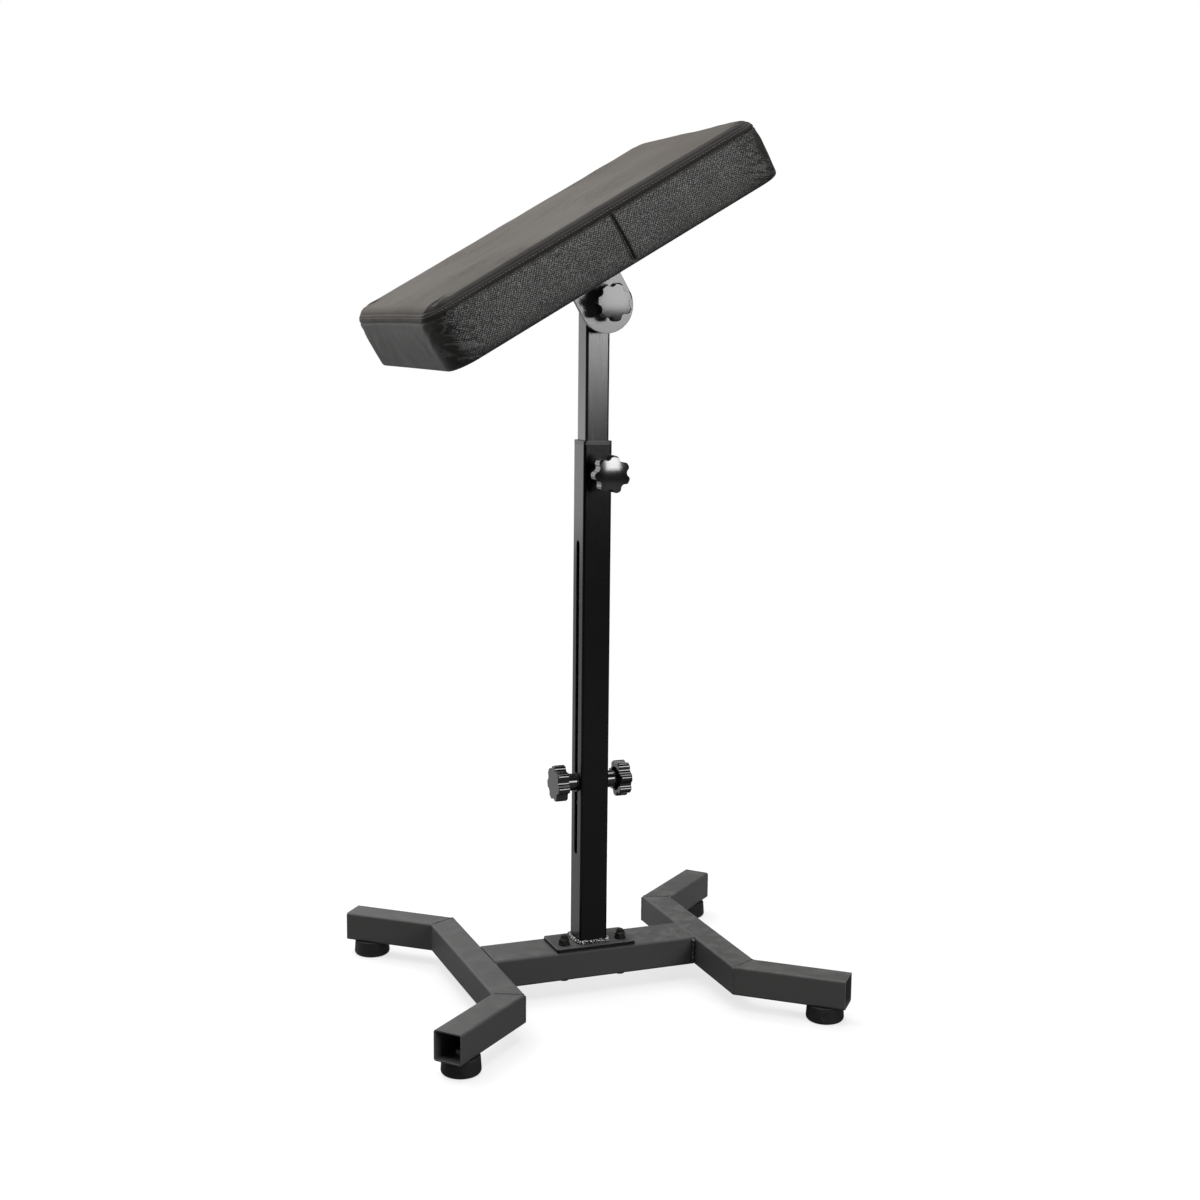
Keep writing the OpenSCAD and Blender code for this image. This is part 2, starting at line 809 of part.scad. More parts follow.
module padded_form(levels, crown_z) {
    rings = [for (level = levels) pad_ring(level[0], level[1], level[2])];
    low = [0, 0, levels[0][2]];
    polyhedron(
        points = stack_points(rings, low, [0, 0, crown_z]),
        faces = stack_faces(len(rings), len(rings[0]))
    );
}

// Height of the crown at a given inset from the pad's side, rising to the middle
function crown_at(inset) =
    let (share = min((inset - pad_top_r)/(pad_w/2 - pad_top_r), 1))
    pad_side_h + pad_crown*share*(2 - share);

// Inset, draw and height of the cover's skin, from the hem up to the crown
cover_levels = concat(
    [
        [side_puff + pad_edge_r, 0, 0],
        [side_puff + pad_edge_r*cosine_share, 0, pad_edge_r*cosine_share],
        [side_puff, side_draw/2, pad_edge_r],
        [0, side_draw, (pad_side_h - seam_drop)/2],
        [side_puff, side_draw, pad_side_h - seam_drop - seam_half],
        [side_puff + seam_in, side_draw, pad_side_h - seam_drop],
        [side_puff, side_draw, pad_side_h - seam_drop + seam_half],
        [side_puff + pad_top_r*cosine_share, side_draw, pad_side_h - pad_top_r*cosine_share],
        [side_puff + pad_top_r, side_draw, pad_side_h]
    ],
    [for (share = crown_shares)
        let (inset = pad_top_r + share*(pad_w/2 - pad_top_r))
        [inset, 0, crown_at(inset)]]
);

// The same form one cover's thickness further in, from a given height up
function inner_levels(from, gap) = concat(
    [
        [skin + gap, side_draw, from],
        [skin + gap, side_draw, pad_side_h - pad_top_r],
        [
            skin + gap + pad_top_r*cosine_share, side_draw,
            pad_side_h - cover_t - gap - pad_top_r*cosine_share
        ],
        [skin + gap + pad_top_r, 0, pad_side_h - cover_t - gap]
    ],
    [for (share = crown_shares)
        let (inset = skin + gap + pad_top_r + share*(pad_w/2 - skin - gap - pad_top_r))
        [inset, 0, crown_at(inset) - cover_t - gap]]
);

module at_pad_middle() { on_pad() translate([-pad_shift, 0, 0]) children(); }

module pad_cover() {
    color("#3b3a39")
    at_pad_middle() difference() {
        padded_form(cover_levels, crown_at(pad_w/2));
        padded_form(inner_levels(hem_t, 0), crown_at(pad_w/2) - cover_t);
        translate([0, 0, -cut]) linear_extrude(hem_t + 2*cut)
            round_rect(pad_len - 2*hem_w, pad_w - 2*hem_w, pad_top_r);
    }
}

module pad_foam() {
    color("#d8d2b8")
    difference() {
        at_pad_middle() padded_form(
            inner_levels(hem_t + board_t, board_gap/2),
            crown_at(pad_w/2) - cover_t - board_gap/2
        );
        on_pad() at_pad_screws() translate([0, 0, hem_t + board_t - cut])
            cylinder(h = tee_nut_flange_t + board_gap + cut, d = tee_nut_flange_d + 2*board_gap);
    }
}

module pad_board() {
    inset = skin + side_draw + board_gap;
    color("#b58a56")
    difference() {
        at_pad_middle() translate([0, 0, hem_t]) linear_extrude(board_t)
            round_rect(pad_len - 2*inset, pad_w - 2*inset, pad_corner_r - inset);
        on_pad() at_pad_screws() cylinder(h = hem_t + board_t + cut, d = tee_nut_d + 2*fit_gap);
    }
}

// The thin black cloth that closes the underside inside the hem
module dust_cloth() {
    color("#1c1c1c")
    difference() {
        at_pad_middle() linear_extrude(hem_t)
            round_rect(pad_len - 2*hem_w - 2*board_gap, pad_w - 2*hem_w - 2*board_gap, pad_top_r);
        on_pad() at_pad_screws() translate([0, 0, -cut])
            cylinder(h = hem_t + 2*cut, d = pad_screw_d + 2*bolt_gap);
    }
}

crossbar();
rail(-1);  // left_rail
rail(1);  // right_rail
leg(-1, -1);  // leg_front_left
leg(1, -1);  // leg_front_right
leg(-1, 1);  // leg_back_left
leg(1, 1);  // leg_back_right
frame_welds();
foot(-1, -1);  // foot_front_left
foot(1, -1);  // foot_front_right
foot(-1, 1);  // foot_back_left
foot(1, 1);  // foot_back_right
foot_washers();
foot_screws();
foot_nuts();
mount_plate();
plate_bolts();
plate_washers();
plate_nuts();
post();
post_weld();
post_collar();
clamp_nut();
mast();
mast_glide();
mast_cap();
cross_bolt();
tilt_boss();
friction_washer();
pivot_bolt();
pivot_washer();
clamp_stud();
clamp_knob();
left_washer();
left_knob();
left_insert();
right_washer();
right_knob();
right_insert();
tilt_washer();
tilt_knob();
tilt_insert();
tilt_ear();
ear_weld();
pad_plate();
pad_screws();
tee_nuts();
pad_board();
pad_foam();
pad_cover();
dust_cloth();
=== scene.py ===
"""The looks of the padded rest: camera, room, finishes, upholstery, seams, welds and threads."""
import math

import bmesh
import bpy
from mathutils import Matrix, Vector, noise
from mathutils.bvhtree import BVHTree


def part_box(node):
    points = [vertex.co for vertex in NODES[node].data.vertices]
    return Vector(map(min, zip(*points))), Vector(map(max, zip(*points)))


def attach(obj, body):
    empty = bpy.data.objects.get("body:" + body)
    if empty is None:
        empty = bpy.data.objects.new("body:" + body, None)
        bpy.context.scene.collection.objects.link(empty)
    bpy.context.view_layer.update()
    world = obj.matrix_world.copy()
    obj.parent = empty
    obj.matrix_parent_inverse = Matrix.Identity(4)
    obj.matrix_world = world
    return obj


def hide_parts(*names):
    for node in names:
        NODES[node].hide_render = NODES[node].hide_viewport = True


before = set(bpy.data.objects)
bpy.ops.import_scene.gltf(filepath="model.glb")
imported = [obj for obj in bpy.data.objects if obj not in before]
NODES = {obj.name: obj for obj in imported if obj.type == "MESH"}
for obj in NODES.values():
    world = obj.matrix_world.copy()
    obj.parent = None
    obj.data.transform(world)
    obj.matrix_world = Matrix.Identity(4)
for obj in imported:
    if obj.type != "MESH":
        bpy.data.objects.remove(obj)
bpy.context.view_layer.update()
MM = 0.001

# The pad's tilt, its pivot's height, how far its underside lies above the pivot, square to the
# slope, and how far its middle lies down the slope from the pivot
TILT = math.radians(30.2)
PIVOT_Z, PIVOT_DROP, PAD_SHIFT = 0.705, 0.0354, 0.006
# The turn that lays Object coordinates along the slope
SLOPE = (0, TILT, 0)
# From the pad's own coordinates, x up the slope from its middle and z up from its underside
PAD_PLACE = (Matrix.Translation((0, 0, PIVOT_Z)) @ Matrix.Rotation(-TILT, 4, "Y")
             @ Matrix.Translation((-PAD_SHIFT, 0, PIVOT_DROP)))

# The base: the width of its tubes, where a rail's middle line bends, and how far a leg turns
TUBE = 0.030
BEND = Vector((0.125, 0.1125, 0))
LEG_TURN = math.radians(49)


# Camera and room

# As solved from the photograph: metres, degrees to the right, down and round, then millimetres
CAMERA_PLACE = (-0.63786, -1.66056, 0.68237)
CAMERA_YAW, CAMERA_DROP, CAMERA_ROLL = (math.radians(a) for a in (21.29, 8.78, 0.58))
CAMERA_LENS, CAMERA_SENSOR = 53.28, 36.0


def set_camera():
    data = bpy.data.cameras.new("camera")
    data.lens, data.sensor_width = CAMERA_LENS, CAMERA_SENSOR
    camera = bpy.data.objects.new("camera", data)
    bpy.context.scene.collection.objects.link(camera)
    look = Vector((
        math.sin(CAMERA_YAW) * math.cos(CAMERA_DROP),
        math.cos(CAMERA_YAW) * math.cos(CAMERA_DROP),
        -math.sin(CAMERA_DROP),
    ))
    level = Vector((math.cos(CAMERA_YAW), -math.sin(CAMERA_YAW), 0))
    above = level.cross(look)
    right = math.cos(CAMERA_ROLL) * level + math.sin(CAMERA_ROLL) * above
    up = math.cos(CAMERA_ROLL) * above - math.sin(CAMERA_ROLL) * level
    turn = Matrix((right, up, -look)).transposed().to_4x4()
    camera.matrix_world = Matrix.Translation(CAMERA_PLACE) @ turn
    bpy.context.scene.camera = camera


# Each lamp's place, the spot that it is aimed at, its width, height, watts and colour
SOFTBOXES = {
    "back_wall": ((-1.1, 2.6, 1.15), (0, 0, 0.45), 4.2, 2.2, 36, (1.0, 1.0, 1.0)),
    "top_softbox": ((-0.3, 0.3, 2.6), (0, 0, 0.3), 2.8, 2.8, 126, (1.0, 1.0, 1.0)),
    "left_softbox": ((-2.4, 0.2, 1.5), (0, 0, 0.4), 1.2, 1.2, 5, (1.0, 0.99, 0.98)),
    "front_card": ((0.86, -2.15, 0.98), (0, 0, 0.66), 0.8, 0.8, 23, (1.0, 1.0, 1.0)),
}
ROOM_LIGHT = 0.06
WHITE = (1, 1, 1, 1)


def set_lamps():
    for name, (place, target, width, height, watts, colour) in SOFTBOXES.items():
        data = bpy.data.lights.new(name, "AREA")
        data.shape, data.size, data.size_y = "RECTANGLE", width, height
        data.energy, data.color = watts, colour
        lamp = bpy.data.objects.new(name, data)
        bpy.context.scene.collection.objects.link(lamp)
        aim = (Vector(target) - Vector(place)).to_track_quat("-Z", "Y")
        lamp.matrix_world = Matrix.Translation(place) @ aim.to_matrix().to_4x4()


# Node trees in Python words

EDGE_SAMPLES = 6


class Channel:
    """A socket of a graph. Arithmetic on it adds the Math nodes that it says."""

    def __init__(self, graph, socket):
        self.graph, self.socket = graph, socket

    def math(self, operation, *others, swapped=False):
        values = [self, *others]
        if swapped:
            values.reverse()
        return self.graph.add("ShaderNodeMath", {"operation": operation}, dict(enumerate(values)))

    def __add__(self, other):
        return self.math("ADD", other)

    __radd__ = __add__

    def __mul__(self, other):
        return self.math("MULTIPLY", other)

    __rmul__ = __mul__

    def __sub__(self, other):
        return self.math("SUBTRACT", other)

    def __rsub__(self, other):
        return self.math("SUBTRACT", other, swapped=True)

    def __truediv__(self, other):
        return self.math("DIVIDE", other)

    def __rtruediv__(self, other):
        return self.math("DIVIDE", other, swapped=True)

    def output(self, key):
        """Another output of the same node."""
        return Channel(self.graph, self.graph.pick(self.socket.node.outputs, key))

    def clamped(self):
        return self.math("MAXIMUM", 0.0).math("MINIMUM", 1.0)

    def between(self, low, high):
        """0 at low and beyond it, 1 at high and beyond it, smooth between them."""
        return self.graph.add(
            "ShaderNodeMapRange",
            {"interpolation_type": "SMOOTHSTEP"},
            {"Value": self, "From Min": low, "From Max": high},
            "Result",
        )


class Graph:
    """A node tree whose sockets take values, or the channels of other nodes."""

    def __init__(self, tree):
        self.tree = tree

    def add(self, kind, settings=None, inputs=None, output=0):
        """A node of this kind: its settings, then what its sockets take. Gives one output."""
        node = self.tree.nodes.new(kind)
        for name, value in (settings or {}).items():
            setattr(node, name, value)
        for key, value in (inputs or {}).items():
            self.feed(self.pick(node.inputs, key), value)
        return Channel(self, self.pick(node.outputs, output)) if node.outputs else node

    def feed(self, socket, value):
        if isinstance(value, list):
            for one in value:
                self.feed(socket, one)
        elif isinstance(value, Channel):
            self.tree.links.new(value.socket, socket)
        elif socket.type == "RGBA" and len(value) == 3:
            socket.default_value = (*value, 1.0)
        else:
            socket.default_value = value

    @staticmethod
    def pick(sockets, key):
        if isinstance(key, int):
            return sockets[key]
        return next((s for s in sockets if s.identifier == key), None) or sockets[key]


class Finish(Graph):
    """A material of one Principled shader, with constants or channels on its sockets."""

    def __init__(self, name, **constants):
        self.material = bpy.data.materials.new(name)
        self.material.use_nodes = True
        super().__init__(self.material.node_tree)
        self.shader = self.tree.nodes["Principled BSDF"]
        self.place = self.add("ShaderNodeTexCoord", output="Object")
        for key, value in constants.items():
            self.set(key.replace("_", " "), value)

    def set(self, socket, value):
        self.feed(self.shader.inputs[socket], value)

    def turned(self, turn=(0, 0, 0), stretch=(1, 1, 1)):
        """The object's own coordinates, turned and stretched."""
        return self.add("ShaderNodeMapping", None, {
            "Vector": self.place, "Rotation": turn, "Scale": stretch,
        })

    def grain(self, scale, detail=3.0, rough=0.5, at=None, bend=0.0):
        return self.add("ShaderNodeTexNoise", None, {
            "Vector": at or self.place, "Scale": scale, "Detail": detail,
            "Roughness": rough, "Distortion": bend,
        }, "Fac")

    def cells(self, scale, at=None, feature="F1"):
        return self.add("ShaderNodeTexVoronoi", {"feature": feature}, {
            "Vector": at or self.place, "Scale": scale,
        }, "Distance")

    def axes(self, vector):
        split = self.add("ShaderNodeSeparateXYZ", None, {"Vector": vector})
        return [split.output(axis) for axis in range(3)]

    def mix(self, share, first, second):
        return self.add("ShaderNodeMix", {"data_type": "RGBA"}, {
            "Factor_Float": share, "A_Color": first, "B_Color": second,
        }, "Result_Color")

    def normal(self):
        """The X, Y and Z of the way that a face looks."""
        return self.axes(self.add("ShaderNodeNewGeometry", output="Normal"))

    def facing_up(self):
        """1 on faces that look up, 0 on walls and undersides."""
        return self.normal()[2].clamped()

    def facing_y(self):
        """1 on faces that look along Y either way, 0 on faces that look across it."""
        return self.normal()[1].math("ABSOLUTE")

    def eased(self, radius_mm):
        """The way that a face looks, rounded near its edges."""
        return self.add("ShaderNodeBevel", {"samples": EDGE_SAMPLES}, {"Radius": radius_mm * MM})

    def edges(self, radius_mm):
        """1 along sharp edges, 0 on flat faces."""
        flat = self.add("ShaderNodeNewGeometry", output="True Normal")
        alike = self.add("ShaderNodeVectorMath", {"operation": "DOT_PRODUCT"}, {
            0: self.eased(radius_mm), 1: flat,
        }, "Value")
        return (1.0 - alike).between(0.02, 0.25)

    def relief(self, height_mm, rounding_mm=None):
        """A height in millimetres becomes the shader's bump, over softened edges if asked."""
        inputs = {"Height": height_mm, "Distance": MM, "Strength": 1.0}
        if rounding_mm:
            inputs["Normal"] = self.eased(rounding_mm)
        self.set("Normal", self.add("ShaderNodeBump", None, inputs))


def grey(value, warm=0.0):
    """Linear colour of a grey that shows as value of 255, warmer by a few steps."""
    def linear(v):
        v = max(v, 0) / 255
        return v / 12.92 if v <= 0.04045 else ((v + 0.055) / 1.055) ** 2.4
    return tuple(linear(value + warm * s) for s in (1.0, 0.0, -1.0))


# Finishes


def coated_tube(name, shade, gloss, dust=0.5, shine=0.5, edge=0.3, wall_shade=None):
    """Powder coat on steel: fine orange peel, slight cloudiness, a little dust on top faces.
    A lighter grey along sharp edges is a painted highlight, as strong as the edge value asks. A
    wall shade value gives the upright faces painted shade, a darker grey than the tops."""
    f = Finish(name, Specular_IOR_Level=shine)
    cloud = f.grain(9.0, detail=4.0, rough=0.6)
    peel = f.grain(520.0, detail=2.0)
    fine = f.grain(2200.0, detail=1.0)
    speck = f.cells(160.0).between(0.10, 0.04)
    patches = f.grain(70.0, detail=5.0, rough=0.7).between(0.42, 0.75)
    settled = (f.facing_up() * patches * dust).clamped()
    base = f.mix(cloud, grey(shade), grey(shade + 7, 1))
    if wall_shade is not None:
        # painted shade: upright faces take the darker wall shade grey, and the tops keep the coat's
        # grey
        base = f.mix(f.facing_up(), grey(wall_shade), base)
    dusty = f.mix(settled * 0.4 + speck * 0.05, base, grey(112, 1))
    # painted highlight: a lighter grey along sharp edges
    f.set("Base Color", f.mix(f.edges(1.0) * edge, dusty, grey(150)))
    f.set("Roughness", cloud * 0.08 + peel * 0.06 + settled * 0.25 + gloss)
    f.relief(peel * 0.035 + fine * 0.008, rounding_mm=0.7)
    return f.material


def slid_tube(name, shade, gloss):
    """The mast's coat, with faint lengthwise rubbing from sliding in the post's collar."""
    f = Finish(name, Specular_IOR_Level=0.5)
    rub = f.grain(420.0, detail=3.0, rough=0.6, at=f.turned(stretch=(1, 1, 0.02)))
    streak = rub.between(0.56, 0.72)
    peel = f.grain(560.0, detail=2.0)
    f.set("Base Color", f.mix(streak * 0.35, grey(shade), grey(shade + 34, 1)))
    f.set("Roughness", peel * 0.06 + rub * 0.12 + gloss)
    f.relief(peel * 0.025 + rub * 0.01, rounding_mm=0.7)
    return f.material


def weld_bead(name, shade, glint_grey):
    """A weld under its coat: the shade all over, with painted glints as flecks of a lighter grey."""
    f = Finish(name, Specular_IOR_Level=0.6)
    spatter = f.grain(900.0, detail=3.0)
    glint_flecks = f.grain(820.0, detail=2.0).between(0.54, 0.60)
    f.set("Base Color", f.mix(glint_flecks, grey(shade), grey(glint_grey, 1)))
    f.set("Roughness", spatter * 0.2 + 0.10)
    f.relief(spatter * 0.12)
    return f.material


def moulded_rubber():
    """The feet: pebbled black, scuffed, and dusty near the floor."""
    f = Finish("moulded_rubber", Specular_IOR_Level=0.35)
    pebble = f.cells(620.0, feature="SMOOTH_F1")
    scuff = f.grain(120.0, detail=5.0, rough=0.7).between(0.5, 0.75)
    low = f.axes(f.place)[2].between(0.006, 0.0)
    f.set("Base Color", f.mix(scuff * 0.25 + low * 0.35, grey(24), grey(72, 3)))
    f.set("Roughness", pebble * 0.15 + 0.62)
    f.relief(pebble * 0.16 + scuff * 0.03)
    return f.material


def moulded_plastic(name, shade, gloss, texture=0.02, shine=0.55, centre=None, dome=0.0055):
    """Moulded plastic with flow texture and hairline scuffs; the face domes about its centre."""
    f = Finish(name, Specular_IOR_Level=shine)
    flow = f.grain(60.0, detail=3.0, rough=0.55)
    fine = f.grain(1500.0, detail=2.0)
    scuff = f.grain(260.0, detail=6.0, rough=0.75, bend=1.5).between(0.60, 0.70)
    f.set("Base Color", f.mix(scuff * 0.25, grey(shade), grey(shade + 42, 1)))
    f.set("Roughness", flow * 0.10 + scuff * 0.16 + gloss)
    height = flow * 0.05 + fine * texture
    if centre:
        x, _, z = f.axes(f.place)
        across, up = (x - centre[0]) / MM, (z - centre[1]) / MM
        height = height - (across * across + up * up) * dome
    f.relief(height, rounding_mm=0.5)
    return f.material


def bare_metal(name, colour, rough, scratch=0.25, tarnish=(0.18, 0.17, 0.16)):
    """Plated or bare metal with turning marks, stains and small scratches."""
    f = Finish(name)
    f.set("Metallic", 1.0)
    stain = f.grain(85.0, detail=5.0, rough=0.65).between(0.45, 0.8)
    marks = f.grain(900.0, detail=3.0, rough=0.6, at=f.turned(stretch=(1, 1, 0.15)))
    f.set("Base Color", f.mix(stain * 0.45, colour, tarnish))
    f.set("Roughness", marks * scratch + stain * 0.15 + rough)
    f.relief(marks * 0.012, rounding_mm=0.25)
    return f.material


def black_oxide():
    """Small steel fasteners, blackened and oiled."""
    f = Finish("black_oxide", Specular_IOR_Level=0.6)
    cloud = f.grain(240.0, detail=4.0)
    f.set("Base Color", f.mix(cloud, grey(20), grey(46, 2)))
    f.set("Metallic", cloud * 0.3 + 0.35)
    f.set("Roughness", cloud * 0.2 + 0.26)
    f.relief(f.grain(1400.0) * 0.02, rounding_mm=0.4)
    return f.material


def pressed_fibre():
    """The friction washer: mottled brown board."""
    f = Finish("pressed_fibre", Specular_IOR_Level=0.3)
    mottle = f.grain(700.0, detail=5.0, rough=0.7)
    f.set("Base Color", f.mix(mottle, grey(58, 8), grey(98, 10)))
    f.set("Roughness", mottle * 0.1 + 0.78)
    f.relief(mottle * 0.08)
    return f.material


# Half a degree more than the slope, so that the plies' lines drift along the board's edges
PLY_TURN = (0, math.radians(30.7), 0)


def plywood():
    """The pad's board: light and dark plies, with the grain running up the slope."""
    f = Finish("plywood", Specular_IOR_Level=0.35)
    plies = (f.axes(f.turned(PLY_TURN))[2] * 2900.0).math("SINE").between(-0.3, 0.3)
    fibres = f.turned(PLY_TURN, stretch=(0.15, 3.0, 3.0))
    grain = f.grain(40.0, detail=6.0, rough=0.7, at=fibres, bend=0.6)
    light = f.mix(grain, (0.62, 0.42, 0.23), (0.42, 0.25, 0.12))
    dark = f.mix(grain, (0.38, 0.22, 0.10), (0.26, 0.14, 0.06))
    f.set("Base Color", f.mix(plies, light, dark))
    f.set("Roughness", grain * 0.15 + 0.65)
    f.relief(grain * 0.1 + plies * 0.04)
    return f.material


def open_foam():
    """Open-celled foam: pale yellow, pitted all over."""
    f = Finish("open_foam", Specular_IOR_Level=0.2)
    pores = f.cells(900.0)
    f.set("Base Color", f.mix(pores, (0.58, 0.53, 0.36), (0.74, 0.69, 0.52)))
    f.set("Roughness", pores * 0.1 + 0.85)
    f.relief(pores * 0.5)
    return f.material


def leather_top():
    """Top of the cover: warm grey, lighter than the sides as painted light from above, matt, fine
    pores, long soft creases with painted shade in them, and painted shade over the roll.
    """
    f = Finish("leather_top", Specular_IOR_Level=0.03)
    at = f.turned(SLOPE)
    along = f.turned(SLOPE, stretch=(0.3, 1.8, 1.0))
    pores = f.cells(900.0, at=at, feature="SMOOTH_F1")
    lines = f.cells(260.0, at=at, feature="DISTANCE_TO_EDGE").between(0.09, 0.0)
    soft = f.grain(26.0, detail=4.0, rough=0.6, at=along, bend=0.5)
    crack = f.grain(95.0, detail=5.0, rough=0.65, at=along, bend=0.8)
    crease_and_shade = (crack - 0.5).math("ABSOLUTE").between(0.022, 0.0)
    crease_and_shade = crease_and_shade * f.grain(14.0, detail=2.0, at=at).between(0.48, 0.66)
    cloud = f.grain(6.0, detail=3.0, rough=0.5, at=at)
    # painted shade over the roll, where the cover turns from the top towards the sides
    roll_shade = f.facing_y().between(0.09, 0.24)
    # greys lighter than the side panels', painted light from above on the same leather
    base = f.mix(cloud.between(0.35, 0.65), grey(70, 4), grey(80, 4))
    roll_shaded = f.mix(roll_shade * 0.93, base, grey(38, 1))
    # painted shade in the creases, mixed with the grain's cell lines and pores
    f.set("Base Color", f.mix(lines * 0.16 + pores * 0.06 + crease_and_shade * 0.5, roll_shaded, grey(26, 1)))
    f.set("Roughness", pores * 0.08 + soft * 0.12 + 0.46)
    f.relief(pores * 0.05 - lines * 0.05 + soft * 0.22 - crease_and_shade * 0.12)
    return f.material


# How far from the pad's middle its corner gathers begin, and where they are full
GATHER_FROM, GATHER_FULL = 0.128, 0.174
# Heights above the pad's underside between which painted shade comes in on its sides, where they turn
# under
UNDER_SHADE_FROM, UNDER_SHADE_FULL = 0.016, 0.001


def leather_side():
    """Side panels: a diagonal emboss of raised dots on the long sides, smooth on the short ends."""
    f = Finish("leather_side", Specular_IOR_Level=0.24)
    at = f.turned(SLOPE)
    x, y, z = f.axes(at)
    wobble = f.grain(240.0, detail=4.0, rough=0.7, at=at) * 12.0
    rise = ((x + y * 0.6 + z) * 2600.0 + wobble).math("SINE") * 0.5 + 0.5
    fall = ((x + y * 0.6 - z) * 2200.0 - wobble).math("SINE") * 0.5 + 0.5
    fleck = f.grain(820.0, detail=2.0, rough=0.6, at=at).between(0.40, 0.66)
    facing_y = f.facing_y()
    long_side = facing_y.between(0.80, 0.98)
    patch = f.grain(34.0, detail=4.0, rough=0.6, at=at).between(0.3, 0.7)
    dots = (rise * fall * 0.75 + fleck * 0.45).between(0.15, 0.9) * (patch * 0.3 + 0.8) * long_side
    pores = f.cells(780.0, at=at, feature="SMOOTH_F1")
    soft = f.grain(22.0, detail=4.0, rough=0.6, at=at, bend=0.6)
    plain = f.mix(patch, grey(39, 2), grey(47, 2))
    skin = f.mix(long_side, plain, f.mix(dots, grey(34, 1), grey(140, 1)))
    # painted shade: the sides darken over the last of their height, where they turn under
    underside = PIVOT_Z * math.cos(TILT) + PIVOT_DROP
    skin = f.mix((z - underside).between(UNDER_SHADE_FROM, UNDER_SHADE_FULL) * 0.6, skin, grey(28, 1))
    # gathers that run in from the sewn corners, with painted shade in their folds and a painted
    # highlight on their ridges
    middle = PIVOT_Z * math.sin(TILT) - PAD_SHIFT
    from_middle = (x - middle).math("ABSOLUTE")
    inwards = f.turned(SLOPE, stretch=(0.45, 0.8, 2.0))
    gather = f.grain(60.0, detail=4.0, rough=0.65, at=inwards, bend=1.4)
    near = from_middle.between(GATHER_FROM, GATHER_FULL) * facing_y.between(0.25, 0.6)
    fold_and_shade = (gather - 0.5).math("ABSOLUTE").between(0.05, 0.0) * near
    ridge = gather.between(0.54, 0.66) * near
    f.set("Base Color", f.mix(fold_and_shade * 0.85, f.mix(ridge * 0.6, skin, grey(92, 1)), grey(10)))
    f.set("Roughness", pores * 0.12 + soft * 0.12 - ridge * 0.12 + 0.44)
    f.relief(dots * 0.16 + pores * 0.06 + soft * 0.18 + ridge * 0.4 - fold_and_shade * 0.45)
    return f.material


def sewing_thread():
    """Twisted thread, in two near greys."""
    f = Finish("sewing_thread", Specular_IOR_Level=0.4, Sheen_Weight=0.3, Sheen_Roughness=0.4)
    x, _, z = f.axes(f.place)
    twist = (x * 9000.0 + z * 9000.0).math("SINE") * 0.5 + 0.5
    f.set("Base Color", f.mix(twist, grey(40, 2), grey(78, 2)))
    f.set("Roughness", twist * 0.1 + 0.5)
    f.relief(twist * 0.06)
    return f.material


def felted_cloth():
    """Black non-woven cloth: short fibres, pressed with dimples 4 mm apart."""
    f = Finish("felted_cloth", Specular_IOR_Level=0.2, Sheen_Weight=0.2, Sheen_Roughness=0.6)
    at = f.turned(SLOPE)
    fibres = f.grain(1400.0, detail=4.0, rough=0.7, at=at, bend=2.0)
    x, y, _ = f.axes(at)
    dimples = ((x * 1570.0).math("SINE") * (y * 1570.0).math("SINE")).between(0.3, 0.9)
    f.set("Base Color", f.mix(fibres * 0.6 + dimples * 0.2, grey(18), grey(36, 1)))
    f.set("Roughness", fibres * 0.1 + 0.8)
    f.relief(fibres * 0.08 - dimples * 0.1)
    return f.material


def knob_axis(name):
    """Where a front knob's axis crosses the upright plane."""
    low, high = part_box(name)
    middle = (low + high) / 2
    return middle.x, middle.z


FRAME_COAT = coated_tube("frame_coat", 68, 0.46, dust=0.9, shine=0.25, edge=0.6)
POST_COAT = coated_tube("post_coat", 2, 0.14, dust=0.2, shine=0.25, edge=0.8)
PLATE_COAT = coated_tube("plate_coat", 58, 0.40, dust=0.7, shine=0.25, edge=0.7, wall_shade=8)
MAST_COAT = slid_tube("mast_coat", 30, 0.10)
EAR_COAT = coated_tube("ear_coat", 66, 0.10, dust=0.1, shine=0.42, edge=0.9)
FOOT_WELD = weld_bead("foot_weld", 20, 235)
DRESSED_WELD = weld_bead("dressed_weld", 46, 62)
RUBBER = moulded_rubber()
KNOB = moulded_plastic("knob_plastic", 12, 0.10, shine=0.7)
CLAMP_KNOB = moulded_plastic(
    "clamp_knob_plastic", 12, 0.10, shine=1.0, centre=knob_axis("clamp_knob"),
)
TILT_KNOB = moulded_plastic(
    "tilt_knob_plastic", 16, 0.10, shine=0.48, centre=knob_axis("tilt_knob"), dome=0.002,
)
GUIDE = moulded_plastic("guide_plastic", 22, 0.34, texture=0.05)
ZINC = bare_metal("zinc_plate", (0.60, 0.61, 0.62), 0.22)
OXIDE = black_oxide()
BRASS = bare_metal("turned_brass", (0.62, 0.46, 0.20), 0.20, tarnish=(0.30, 0.20, 0.08))
FIBRE = pressed_fibre()
PLY = plywood()
FOAM = open_foam()
LEATHER_TOP = leather_top()
LEATHER_SIDE = leather_side()
THREAD = sewing_thread()
CLOTH = felted_cloth()

